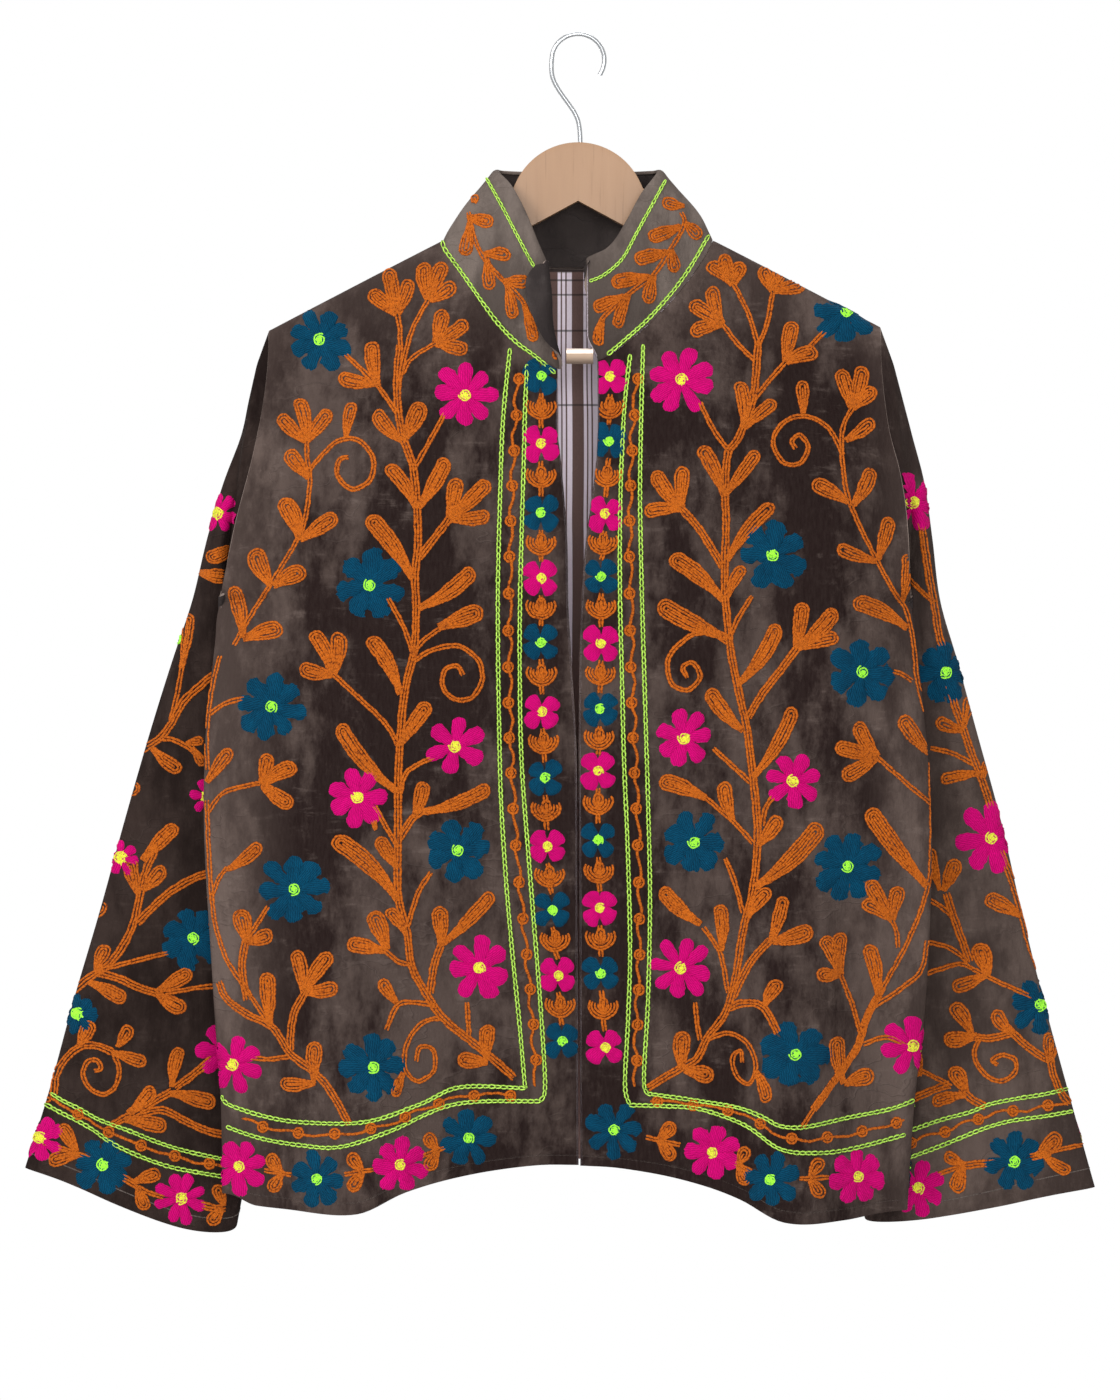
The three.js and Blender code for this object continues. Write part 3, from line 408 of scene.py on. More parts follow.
def sleeve_point(side, turn, ring):
    """A place on a sleeve: turn 0 to 1 round the armhole, ring 0 (armhole) to 13 (cuff)."""
    sign = SIDES[side]
    step = turn * ARMHOLE_STEPS
    on_front = step <= UNDERARM_STEP
    near = step if on_front else ARMHOLE_STEPS - step
    loop = armhole_point(side, step)
    tip = armhole_point(side, 0)
    under = armhole_point(side, UNDERARM_STEP)
    across_hole = (tip.z - loop.z) / (tip.z - under.z)
    away = mix(SEAM_GAP, UNDERARM_EASE, smooth(across_hole / 0.2 - 4))
    first = loop + Vector((sign * away, 0, 0))
    if ring <= 0:
        return first
    row = max(1, ring)
    table = SLEEVES[side]
    even = smooth(row / 4)
    across = clamp(mix(across_hole, (1 - math.cos(math.pi * near / UNDERARM_STEP)) / 2, even))
    full = (4 * across * (1 - across)) ** (TUBE_ROUNDNESS / 2)
    facing = -1 if on_front else 1
    lift = ripple(row * 40, across * 260, 11 + 3 * facing, 0.9)
    for at, share, reach, half, height in SLEEVE_CREASES:
        lean = 0.05 * (row - at) * facing
        off = ((row - at) / reach) ** 2 + ((across - share - lean) / half) ** 2
        if off < 6:
            lift += height * math.exp(-off) * (1 if sign < 0 else 0.9)
    y = mix(table("py", row), table("qy", row), across)
    y += facing * (table("half", row) * full + lift * smooth(full / 0.7))
    dip = CUFF_DIP[side] * smooth(1 - (LAST_RING - row) / 4)
    sag = dip * smooth(across / 0.85) * (1 if on_front else 0.6) * full
    x = mix(table("px", row), table("qx", row), across) * sign
    place = Vector((x, y, mix(table("pz", row), table("qz", row), across) - sag))
    return first.lerp(place, ring) if ring < 1 else place


def neck_point(station):
    """The neck seam: stations 0 to 1 right front, 1 to 2 back, 2 to 3 left front."""
    if station <= 1:
        return front_point("right", station / 4, 0)
    if station < 2:
        return back_point((station - 1.5) * 4 / 7, 0)
    return front_point("left", (3 - station) / 4, 0)


def collar_place(station, height):
    """A place on the collar, by station along the neck seam and share of its height."""
    if height > 1:  # the top edge is rolled over towards the neck
        top, low = collar_place(station, 1), collar_place(station, 0.9)
        up = (top - low).normalized()
        inward = -Vector((top.x, top.y, 0)).normalized()
        angle = (height - 1) / ROLL_SHARE * math.pi
        return top + inward * (ROLL * (1 - math.cos(angle))) + up * (ROLL * math.sin(angle))
    point = neck_point(station)
    top = Vector((COLLAR_TOP("x", station), COLLAR_TOP("y", station), COLLAR_TOP("z", station)))
    base = point + (top - point).normalized() * SEAM_GAP
    out = Vector((top.x, top.y, 0)).normalized()
    place = base.lerp(top, height)
    bow = COLLAR_BOW * 4 * height * (1 - height)
    ruck = 1.9 * noise.noise(Vector((station * 5.5, 2.0, height * 1.6))) * smooth(height * 3)
    if station > 2 or station < 1:
        pull = math.exp(-(((station - 2.45) if station > 2 else (station - 0.4)) / 0.35) ** 2)
        ruck += 1.5 * pull * math.sin(station * 34 + height * 4.5) * (1.2 - height)
    place += out * (bow + ruck * 4 * height * (1 - height))
    if station > 2.8:
        reach = smooth(height * 5 / 1.3)
        ease = -3 * smooth((station - 2.8) / 0.1)
        if station > 2.9:
            ease = mix(-3, COLLAR_LEFT_END - place.x, (station - 2.9) / 0.1)
        place.x += reach * ease
    return place


def collar_point(along, height):
    """First comes the turned-over end, then the collar's whole length."""
    if along >= FLAP_SHARE:
        return collar_place((along - FLAP_SHARE) / (1 - FLAP_SHARE) * 3, height)
    end = collar_place(0, height)
    height = min(height, 1)
    towards = (collar_place(0, height) - collar_place(0.1, height)).normalized()
    out = Vector((towards.y, -towards.x, 0)).normalized()
    run = FLAP("run", height) * (1 - along / FLAP_SHARE)
    turn = math.pi * FLAP_RADIUS
    angle = min(run, turn) / FLAP_RADIUS
    forward = FLAP_RADIUS * math.sin(angle) - max(0, run - turn)
    return end + towards * forward + out * FLAP_RADIUS * (1 - math.cos(angle))


# ---------- materials ----------
class Value:
    """An output of a node; sums and products of values become math nodes."""

    def __init__(self, paint, socket):
        self.paint, self.socket = paint, socket

    def math(self, how, *others, clamped=False):
        inputs = {i + 1: other for i, other in enumerate(others)}
        return self.paint.node("Math", {"operation": how, "use_clamp": clamped}, {0: self, **inputs})

    def __add__(self, other):
        return self.math("ADD", other)

    def __sub__(self, other):
        return self.math("SUBTRACT", other)

    def __mul__(self, other):
        return self.math("MULTIPLY", other)

    def __truediv__(self, other):
        return self.math("DIVIDE", other)

    def __rsub__(self, other):
        return self.paint.node("Math", {"operation": "SUBTRACT"}, {0: other, 1: self})

    __radd__ = __add__
    __rmul__ = __mul__


class Paint:
    """A material under construction."""

    def __init__(self, name, **constants):
        self.material = bpy.data.materials.new(name)
        self.material.use_nodes = True
        self.tree = self.material.node_tree
        self.shader = self.tree.nodes["Principled BSDF"]
        for socket, value in constants.items():
            self.shader.inputs[socket.replace("_", " ")].default_value = value

    def node(self, kind, settings, inputs, output=0):
        """Any node: its settings first, then values and links for its sockets."""
        node = self.tree.nodes.new("ShaderNode" + kind)
        for name, value in settings.items():
            setattr(node, name, value)
        for name, value in inputs.items():
            if isinstance(value, Value):
                self.tree.links.new(value.socket, node.inputs[name])
            else:
                node.inputs[name].default_value = value
        return Value(self, node.outputs[output])

    def place(self, uv=None):
        """Object coordinates, or the piece's own map, as x, y and z."""
        if uv:
            vector = self.node("UVMap", {"uv_map": uv}, {})
        else:
            vector = self.node("TexCoord", {}, {}, "Object")
        split = self.tree.nodes.new("ShaderNodeSeparateXYZ")
        self.tree.links.new(vector.socket, split.inputs[0])
        return vector, [Value(self, split.outputs[i]) for i in range(3)]

    def noise(self, vector, scale, detail=3, rough=0.6):
        inputs = {"Vector": vector, "Scale": scale, "Detail": detail, "Roughness": rough}
        return self.node("TexNoise", {}, inputs)

    def stretch(self, vector, sizes):
        return self.node("VectorMath", {"operation": "MULTIPLY"}, {0: vector, 1: sizes})

    def ramp(self, value, low, high):
        inputs = {"Value": value, "From Min": low, "From Max": high}
        return self.node("MapRange", {"interpolation_type": "SMOOTHSTEP"}, inputs)

    def blend(self, share, first, second):
        """One colour turning into another."""
        node = self.tree.nodes.new("ShaderNodeMix")
        node.data_type = "RGBA"
        for index, value in ((0, share), (6, first), (7, second)):
            if isinstance(value, Value):
                self.tree.links.new(value.socket, node.inputs[index])
            elif index:
                node.inputs[index].default_value = (*value, 1)
            else:
                node.inputs[index].default_value = value
        return Value(self, node.outputs[2])

    def bump(self, height, strength, distance, under=None):
        inputs = {"Height": height, "Strength": strength, "Distance": distance}
        if under:
            inputs["Normal"] = under
        return self.node("Bump", {}, inputs)

    def finish(self, **links):
        for socket, value in links.items():
            self.tree.links.new(value.socket, self.shader.inputs[socket.replace("_", " ")])
        return self.material


def velvet(name, light, dark, worn, sheen, lift=0.0):
    """Pile that lies in patches: lighter where it is brushed up and dark where it lies down."""
    paint = Paint(name, Sheen_Weight=sheen, Sheen_Roughness=0.45, Specular_IOR_Level=0.03)
    paint.shader.inputs["Sheen Tint"].default_value = (*worn, 1)
    vector, (x, _, z) = paint.place()
    wide = paint.noise(paint.stretch(vector, (1, 1, 0.42)), 11, 4, 0.62)
    patches = paint.noise(paint.stretch(vector, (1, 1, 0.55)), 40, 5, 0.72)
    brushed = paint.ramp(wide * 0.6 + patches * 0.4, 0.43, 0.61)
    # Painted light: the shoulders, which face up, are painted lighter, and the sides get a painted highlight
    # where the cloth rolls away.
    high = paint.ramp(z, -0.27, -0.15)
    side_highlight = paint.ramp(x.math("ABSOLUTE"), 0.18, 0.262)
    # The brushed patches are the pile's own tone. lift paints the whole copy lighter where it is lit, and
    # darker (below 0) where it lies in shade.
    nap_and_painted_light = brushed * 0.58 + high * 0.34 + side_highlight * 0.42 + lift - 0.06
    nap_and_painted_light = nap_and_painted_light.math("MINIMUM", 1.0, clamped=True)
    colour = paint.blend(nap_and_painted_light, dark, light)
    scuffs = paint.ramp(paint.noise(paint.stretch(vector, (0.32, 1, 1.7)), 90, 4, 0.7), 0.52, 0.74)
    scuffed = scuffs * paint.ramp(patches, 0.44, 0.62)
    colour = paint.blend(scuffed * 0.32, colour, worn)
    # Fine creases in thin crooked lines, painted lighter in the worn colour as a painted highlight where they
    # catch the light.
    bent = paint.noise(paint.stretch(vector, (0.8, 1, 1.6)), 19, 3, 0.55)
    highlit_creases = 1 - paint.ramp((bent - 0.5).math("ABSOLUTE"), 0.002, 0.016)
    highlit_creases = highlit_creases * paint.ramp(wide, 0.46, 0.6)
    colour = paint.blend(highlit_creases * 0.12, colour, worn)
    ribs = paint.noise(paint.stretch(vector, (1, 1, 0.25)), 520, 2, 0.5)
    pile = paint.noise(vector, 2400, 2, 0.6)
    colour = paint.blend((ribs * 0.5 + pile * 0.5 - 0.3) * 0.2, colour, worn)
    crushed = paint.noise(vector, 95, 4, 0.6)
    bump = paint.bump(pile, 0.35, 0.0006)
    bump = paint.bump(ribs * 0.6 + crushed + highlit_creases * 0.8, 0.6, 0.0014, bump)
    return paint.finish(Base_Color=colour, Roughness=0.78 + 0.2 * pile, Normal=bump)


def lining(name):
    """Smooth brown lining with groups of three pale stripes and a few pressed folds."""
    paint = Paint(name, Sheen_Weight=0.1, Specular_IOR_Level=0.3)
    vector, (x, _, z) = paint.place()
    waver = (paint.noise(vector, 9, 2, 0.5) - 0.5) * 0.002
    across = ((x + 0.0147 + waver) / (STRIPE_REPEAT * 0.001)).math("FRACT") * STRIPE_REPEAT
    stripes = None
    for start, end in STRIPES:
        edge = paint.ramp(across, start, start + 0.3) * (1 - paint.ramp(across, end - 0.3, end))
        stripes = edge if stripes is None else stripes + edge
    weave = paint.noise(paint.stretch(vector, (1, 1, 0.3)), 1900, 2, 0.6)
    # Painted shade at the lining's top edge: the stripes stop short of it, and above it the colour turns dark
    # towards shadow.
    below_top_shade = paint.ramp(0.0 - z, 0.166, 0.168)
    ground = paint.blend(weave, (0.095, 0.052, 0.044), (0.18, 0.10, 0.086))
    pale = paint.blend(weave, (0.80, 0.68, 0.78), (0.97, 0.87, 0.96))
    colour = paint.blend(stripes * below_top_shade, ground, pale)
    shadow = (0.012, 0.007, 0.006)
    for fold in LINING_FOLDS:
        line = 1 - paint.ramp((z - fold * 0.001).math("ABSOLUTE"), 0.0002, 0.0011)
        colour = paint.blend(line * 0.75, colour, shadow)
    colour = paint.blend(paint.ramp(z, -0.1672, -0.1662) * 0.9, colour, shadow)
    bump = paint.bump(weave, 0.25, 0.0004)
    return paint.finish(Base_Color=colour, Roughness=0.55 + 0.2 * weave, Normal=bump)


def wool(name, light, dark, link=0.0034, glow=0.12):
    """Chain-stitched yarn: rows of links whose two strands part and meet again."""
    paint = Paint(name, Sheen_Weight=glow, Sheen_Roughness=0.5, Specular_IOR_Level=0.15)
    paint.shader.inputs["Sheen Tint"].default_value = (*light, 1)
    _, (u, v, _) = paint.place("stitch")
    solid, _ = paint.place()
    side = v.math("ABSOLUTE")
    slack = paint.noise(solid, 190, 3, 0.6)
    part = ((u / link + side * 300 + slack * 2.6).math("FRACT") - 0.5).math("ABSOLUTE") * 2
    groove = paint.ramp(side, 0.0, 0.00035)
    edge = paint.ramp(side, 0.00042, 0.00088)
    strand = (paint.ramp(part, 0.02, 0.4) * 0.5 + 0.5) * (groove * 0.45 + 0.55)
    twist = paint.noise(solid, 1500, 3, 0.6)
    shade = paint.noise(solid, 60, 3, 0.6)
    fleck = paint.ramp(paint.noise(solid, 420, 3, 0.65), 0.56, 0.66)
    # Painted shade: each row is darkened along its edges, so that dark lines stand between the rows.
    share = strand * 0.8 + twist * 0.6 + shade * 0.55 - 0.42 - edge * (0.3 + shade * 0.6) - fleck * 0.5
    share = share.math("MINIMUM", 1.0, clamped=True)
    colour = paint.blend(share, dark, light)
    bump = paint.bump(strand + twist * 0.5, 0.9, 0.0008)
    return paint.finish(Base_Color=colour, Roughness=0.75 + 0.2 * twist, Normal=bump)


def satin(name, light, dark, glow=0.12):
    """Filled petals: yarn laid side by side along each petal."""
    paint = Paint(name, Sheen_Weight=glow, Sheen_Roughness=0.5, Specular_IOR_Level=0.06)
    paint.shader.inputs["Sheen Tint"].default_value = (*light, 1)
    _, (u, v, _) = paint.place("stitch")
    solid, _ = paint.place()
    wander = paint.noise(solid, 260, 3, 0.6)
    rows = ((v / 0.0013 + wander * 1.6).math("FRACT") - 0.5).math("ABSOLUTE") * 2
    ends = ((u / 0.0042 + wander * 2 + v * 300).math("FRACT") - 0.5).math("ABSOLUTE") * 2
    strand = paint.ramp(rows, 0.02, 0.5) * 0.7 + paint.ramp(ends, 0.0, 0.25) * 0.3
    twist = paint.noise(solid, 1700, 3, 0.6)
    worn = paint.noise(solid, 85, 3, 0.65)
    share = strand * 0.6 + twist * 0.6 + wander * 0.3 + worn * 0.7 - 0.66
    share = share.math("MINIMUM", 1.0, clamped=True)
    colour = paint.blend(share, dark, light)
    bump = paint.bump(strand + twist * 0.6, 0.75, 0.0006)
    return paint.finish(Base_Color=colour, Roughness=0.72 + 0.22 * twist, Normal=bump)


def hanger_wood(name):
    """Varnished wood whose grain and pores run upright."""
    paint = Paint(name, Specular_IOR_Level=0.4)
    vector, _ = paint.place()
    grain = paint.noise(paint.stretch(vector, (1, 1, 0.06)), 260, 4, 0.6)
    bands = paint.noise(paint.stretch(vector, (1, 1, 0.12)), 38, 3, 0.55)
    pores = paint.ramp(paint.noise(paint.stretch(vector, (1, 1, 0.03)), 900, 2, 0.5), 0.6, 0.74)
    colour = paint.blend(grain * 0.45 + bands * 0.55, (0.285, 0.162, 0.084), (0.205, 0.111, 0.056))
    colour = paint.blend(pores * 0.35, colour, (0.15, 0.08, 0.04))
    bump = paint.bump(grain + pores * -0.6, 0.2, 0.0003)
    return paint.finish(Base_Color=colour, Roughness=0.36 + 0.16 * bands, Normal=bump)


def metal(name, light, dark, rough, along=(1, 1, 1), darkening=None):
    """Brushed metal; the last argument gives the heights between which it turns darker towards the bottom."""
    paint = Paint(name, Metallic=1.0)
    vector, (_, _, z) = paint.place()
    brush = paint.noise(paint.stretch(vector, along), 900, 3, 0.6)
    worn = paint.noise(vector, 120, 4, 0.65)
    colour = paint.blend(brush * 0.4 + worn * 0.6, light, dark)
    if darkening:
        low, high = darkening
        colour = paint.blend(1 - paint.ramp(z, high, high + 0.0006), colour, (0.22, 0.16, 0.12))
        colour = paint.blend(1 - paint.ramp(z, low, high), colour, (0.045, 0.032, 0.025))
    bump = paint.bump(brush, 0.15, 0.0002)
    return paint.finish(Base_Color=colour, Roughness=rough + 0.2 * worn * brush, Normal=bump)


# Each velvet: its colour brushed up, lying down and worn (the worn colour is also the painted highlight on
# fine creases), its sheen, and lift, which paints the copy lighter where it is lit and darker where it lies
# in shade.
VELVET = velvet("velvet", (0.088, 0.064, 0.055), (0.0085, 0.0043, 0.0040), (0.12, 0.091, 0.08), 0.02)
# Painted shade: the sleeves' copies are darker than the body's velvet for the shade they hang in, the right
# one (shaded_velvet) much darker than the left.
SLEEVE_VELVET = {
    "right": velvet(
        "shaded_velvet", (0.030, 0.020, 0.017), (0.005, 0.0027, 0.0024),
        (0.05, 0.036, 0.031), 0.01, -0.2,
    ),
    "left": velvet(
        "sleeve_velvet", (0.076, 0.055, 0.047), (0.0085, 0.0047, 0.0043),
        (0.11, 0.084, 0.073), 0.02, -0.1,
    ),
}
# Painted light: the collar's copy of the velvet is lighter, with more sheen, for the strong light it catches.
LIT_COLLAR_VELVET = velvet(
    "lit_collar_velvet", (0.104, 0.083, 0.072), (0.013, 0.009, 0.008),
    (0.145, 0.118, 0.103), 0.08, 0.2,
)
# Painted highlight: the cloth's edges are a lighter copy of the velvet, for the light they catch where the
# cloth rolls over.
EDGE = velvet("highlit_edge", (0.17, 0.132, 0.115), (0.075, 0.055, 0.048), (0.24, 0.19, 0.17), 0.2, 0.4)
# Painted shade: the facing, inside the sleeves and the collar, is a darker copy of the velvet for the shade
# it lies in.
SHADED_FACING = velvet("facing", (0.042, 0.034, 0.032), (0.014, 0.011, 0.011), (0.062, 0.052, 0.05), 0.12)
LINING = lining("striped_lining")
LEAF = wool("orange_wool", (0.47, 0.108, 0.005), (0.088, 0.013, 0.001), glow=0.03)
NEON = wool("lime_yarn", (0.45, 0.72, 0.11), (0.15, 0.28, 0.025), 0.0044, 0.06)
PINK = satin("pink_wool", (0.47, 0.0006, 0.128), (0.19, 0.0003, 0.046), 0.02)
TEAL = satin("teal_wool", (0.0003, 0.046, 0.094), (0.0002, 0.006, 0.015), 0.01)
YELLOW = wool("yellow_yarn", (0.66, 0.66, 0.05), (0.30, 0.28, 0.014), 0.003, 0.05)
GREEN = wool("green_yarn", (0.32, 0.82, 0.05), (0.12, 0.36, 0.016), 0.003, 0.05)
PIPING = wool("lilac_piping", (0.34, 0.29, 0.32), (0.15, 0.12, 0.13), 0.002, 0.1)
THREAD = wool("brown_thread", (0.105, 0.085, 0.075), (0.02, 0.014, 0.012), 0.003, 0.1)
WOOD = hanger_wood("beech")
STEEL = metal("steel", (0.42, 0.43, 0.44), (0.26, 0.27, 0.28), 0.2, (1, 1, 0.2))
PLATE = metal("plated_sheet", (0.78, 0.66, 0.58), (0.52, 0.42, 0.36), 0.26, (0.15, 1, 1), (-0.2400, -0.2324))


# ---------- building ----------
def in_scene(name, data):
    """A new object, linked to the scene."""
    made = bpy.data.objects.new(name, data)
    bpy.context.scene.collection.objects.link(made)
    return made


def new_piece(name, bm, materials, nodes=()):
    """Turns a mesh in millimetres into a piece in metres that rides on the frame."""
    bm.transform(Matrix.Scale(0.001, 4))
    mesh = bpy.data.meshes.new(name)
    bm.to_mesh(mesh)
    bm.free()
    mesh.polygons.foreach_set("use_smooth", [True] * len(mesh.polygons))
    for material in materials:
        mesh.materials.append(material)
    piece = in_scene(name, mesh)
    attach(piece, "root")
    if nodes:
        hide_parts(*nodes)
    return piece


def turn_outwards(bm, face, out):
    """Turns the sheet's faces round if the given one doesn't look outwards."""
    if face.normal.dot(out) < 0:
        bmesh.ops.reverse_faces(bm, faces=bm.faces)
    bm.normal_update()


def sheet_of(place, grid, closed=False, outside=0):
    """A grid whose points lie where place(across, down) says; outside is its outer side in y."""
    columns, rows = grid
    bm = bmesh.new()
    bm.loops.layers.uv.new("stitch")
    made = bmesh.ops.create_grid(bm, x_segments=columns, y_segments=rows, size=0.5, calc_uvs=True)
    for vert in made["verts"]:
        vert.co = place(clamp(vert.co.x + 0.5), clamp(0.5 - vert.co.y))
    if closed:
        bmesh.ops.remove_doubles(bm, verts=bm.verts, dist=0.001)
    bmesh.ops.recalc_face_normals(bm, faces=bm.faces)
    bm.normal_update()
    if outside:
        turn_outwards(bm, list(bm.faces)[len(bm.faces) // 2], Vector((0, outside, 0)))
    return bm


def make_wall(piece, thickness):
    """Gives a sheet its thickness; its second material is the inside, its last the edges."""
    wall = piece.modifiers.new("wall", "SOLIDIFY")
    wall.thickness = thickness * 0.001
    wall.offset = -1
    wall.use_even_offset = False
    wall.material_offset = 1
    wall.material_offset_rim = len(piece.data.materials) - 1
    rounding = piece.modifiers.new("rounding", "BEVEL")
    rounding.width = thickness * 0.00042
    rounding.segments = 2
    rounding.angle_limit = math.radians(62)
    return piece


grounds = {}  # the sheets that the embroidery is laid on, in millimetres


def cloth(name, bm, inside, nodes, thickness=CLOTH, outer=VELVET):
    """A velvet sheet on the frame, kept as ground for the embroidery too."""
    grounds[name] = BVHTree.FromBMesh(bm)
    piece = make_wall(new_piece(name, bm, [outer, inside, EDGE], nodes), thickness)
    return piece


for side in SIDES:
    place = lambda across, down, side=side: front_point(side, across, rows_from_crest(down))
    bm = sheet_of(place, FRONT_GRID, outside=-1)
    cloth("velvet_front_" + side, bm, LINING, ["front_" + side])

place = lambda across, down: back_point(across * 2 - 1, rows_from_crest(down))
bm = sheet_of(place, BACK_GRID, outside=1)
cloth("velvet_back", bm, LINING, ["back"])

for side in SIDES:
    place = lambda turn, down, side=side: sleeve_point(side, turn, LAST_RING * down)
    bm = sheet_of(place, SLEEVE_GRID, closed=True)
    outermost = max(bm.faces, key=lambda face: abs(face.calc_center_median().x))
    turn_outwards(bm, outermost, Vector((SIDES[side], 0, 0)))
    outer = SLEEVE_VELVET[side]
    cloth("velvet_sleeve_" + side, bm, SHADED_FACING, ["sleeve_" + side], outer=outer)

place = lambda across, down: collar_point(across, (1 - down) * (1 + ROLL_SHARE))
bm = sheet_of(place, COLLAR_GRID)
beside_neck = Vector((-60, -25, -150))
nearest = min(bm.faces, key=lambda face: (face.calc_center_median() - beside_neck).length)
turn_outwards(bm, nearest, Vector((-1, -1, 0)))
cloth("velvet_collar", bm, SHADED_FACING, ["collar"], COLLAR_CLOTH, LIT_COLLAR_VELVET)


# ---------- lining of the back ----------
def lining_point(across, down):
    """A place on the lining, which hangs inside the back and is tucked above each fold."""
    share = mix(-0.86, 0.86, across)
    row = mix(0.03, 0.985, down)
    place = back_point(share, row)
    z = place.z
    tuck = 0.0
    for at in LINING_FOLDS:
        above = z - at
        if above > 0:
            tuck += 1.8 * math.exp(-above / 9)
    inside = CLOTH + 1.4 + tuck + 0.5 * noise.noise(Vector((place.x / 16, 0, z / 60)))
    return Vector((place.x * 0.985, place.y - inside, z))


lining_bm = sheet_of(lining_point, LINING_GRID, outside=-1)
lining_sheet = new_piece("striped_back_lining", lining_bm, [LINING, LINING], ["back_lining"])
back_lining = make_wall(lining_sheet, LINING_CLOTH)


# ---------- hanger, hook and clasp ----------
def hanger_point(across, up):
    """The wood's flat outline: between its upper and its lower edge, both rounded at the ends."""
    x = mix(-HANGER["end"], HANGER["end"], across)
    reach = abs(x)
    arm = shoulder_height(x, TIP_X["right"]) - HANGER["clear"]
    top = arm
    head_end = HANGER["radius"] * math.cos(HANGER["turn"])
    if reach < head_end:
        top = HANGER["middle"] + math.sqrt(HANGER["radius"] ** 2 - reach ** 2)
    elif reach < HANGER["arm"]:
        share = (reach - head_end) / (HANGER["arm"] - head_end)
        first = HANGER["middle"] + HANGER["radius"] * math.sin(HANGER["turn"])
        last = shoulder_height(HANGER["arm"], TIP_X["right"]) - HANGER["clear"]
        dip = HANGER["dip"] * 2 * share * (1 - share)
        top = first * (1 - share) ** 2 + dip + last * share ** 2
    under = HANGER["peak"] - HANGER["slope"] * reach
    half = (arm - under) / 2
    if reach > HANGER["end"] - half:
        off = (reach - HANGER["end"] + half) / half
        squeeze = math.sqrt(max(0.0004, 1 - off * off))
        middle = (top + under) / 2
        return Vector((x, 0, mix(middle - half * squeeze, middle + half * squeeze, up)))
    return Vector((x, 0, mix(under, top, up)))


place = lambda across, down: hanger_point(across, 1 - down)
hanger_bm = sheet_of(place, HANGER_GRID, outside=-1)
hanger = new_piece("hanger_wood", hanger_bm, [WOOD], ["hanger_body"])
wall = hanger.modifiers.new("wall", "SOLIDIFY")
wall.thickness = HANGER["thick"] * 0.001
wall.offset = 0
wall.use_even_offset = False
rounding = hanger.modifiers.new("rounding", "BEVEL")
rounding.width = 0.0034
rounding.segments = 5
rounding.angle_limit = math.radians(50)

LOOP_RADIUS, LOOP_MIDDLE = 19, -17.3  # the hook's wire, along its own middle
route = []
for degrees in range(-35, 181, 9):
    angle = math.radians(degrees)
    route.append((LOOP_RADIUS * math.cos(angle), LOOP_MIDDLE + LOOP_RADIUS * math.sin(angle)))
route += [(-19.6, -27), (-16.6, -35), (-9.7, -45), (-2, -55), (1.4, -64), (1.8, -77), (1.8, -100)]
wire = bpy.data.curves.new("hanger_hook_wire", "CURVE")
wire.dimensions = "3D"
wire.resolution_u = 6
wire.bevel_resolution = 5
wire.bevel_depth = 0.0017
wire.use_fill_caps = True
line = wire.splines.new("NURBS")
line.points.add(len(route) - 1)
for point, (x, z) in zip(line.points, route):
    point.co = (x * 0.001, 0, z * 0.001, 1)
line.use_endpoint_u = True
line.order_u = 4
hook = in_scene("hanger_hook_wire", wire)
wire.materials.append(STEEL)
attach(hook, "root")
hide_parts("hanger_hook")

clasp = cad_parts["clasp"]
clasp.data.materials.clear()
clasp.data.materials.append(PLATE)


# ---------- embroidery ----------
class Ground:
    """Finds the cloth under a place of the layout, as seen by an eye in front or behind."""

    def __init__(self, eye, *names):
        self.eye, self.trees = eye, [grounds[name] for name in names]

    def at(self, px, py):
        """The nearest cloth under a place, with its normal towards the eye, or nothing."""
        target = Vector(((px - LAYOUT[0]) * STEP, 0, (LAYOUT[1] - py) * STEP))
        ray = (target - self.eye).normalized()
        best = None
        for tree in self.trees:
            place, normal, _, far = tree.ray_cast(self.eye, ray)
            if place is not None and (best is None or far < best[2]):
                best = (place, normal if normal.dot(ray) < 0 else -normal, far)
        return best and best[:2]

    def near(self, px, py, middle):
        """The cloth under a place or, past its edge, the last cloth on the way back to the middle."""
        for k in range(11):
            spot = self.at(mix(px, middle[0], k / 10), mix(py, middle[1], k / 10))
            if spot:
                return spot
        return None


def curve_through(points, step):
    """Evenly spaced places on a smooth curve through the given ones."""
    if len(points) == 2:
        (ax, ay), (bx, by) = points
        points = [points[0], ((ax + bx) / 2, (ay + by) / 2), points[1]]
    fine = []
    for i in range(len(points) - 1):
        p0, p1 = points[max(0, i - 1)], points[i]
        p2, p3 = points[i + 1], points[min(len(points) - 1, i + 2)]
        for k in range(12):
            t = k / 12
            fine.append(tuple(
                0.5 * (2 * b + (c - a) * t + (2 * a - 5 * b + 4 * c - d) * t * t
                       + (3 * b - a - 3 * c + d) * t ** 3)
                for a, b, c, d in zip(p0, p1, p2, p3)))
    fine.append(tuple(points[-1]))
    out, run = [fine[0]], 0.0
    for a, b in zip(fine, fine[1:]):
        gap = math.hypot(b[0] - a[0], b[1] - a[1])
        while run + gap >= step:
            share = (step - run) / gap
            a = (mix(a[0], b[0], share), mix(a[1], b[1], share))
            out.append(a)
            gap = math.hypot(b[0] - a[0], b[1] - a[1])
            run = 0.0
        run += gap
    if run > step * 0.4:
        out.append(fine[-1])
    return out


HIDDEN_STEP = 1.25  # stitches on the hidden sides are longer by this
ROW_GAP = 2.85  # between a stem's rows
BUD_WIDTH = 14
PETAL_HEIGHT = 1.3
SUNK = 0.15  # pads sink this far into the pile


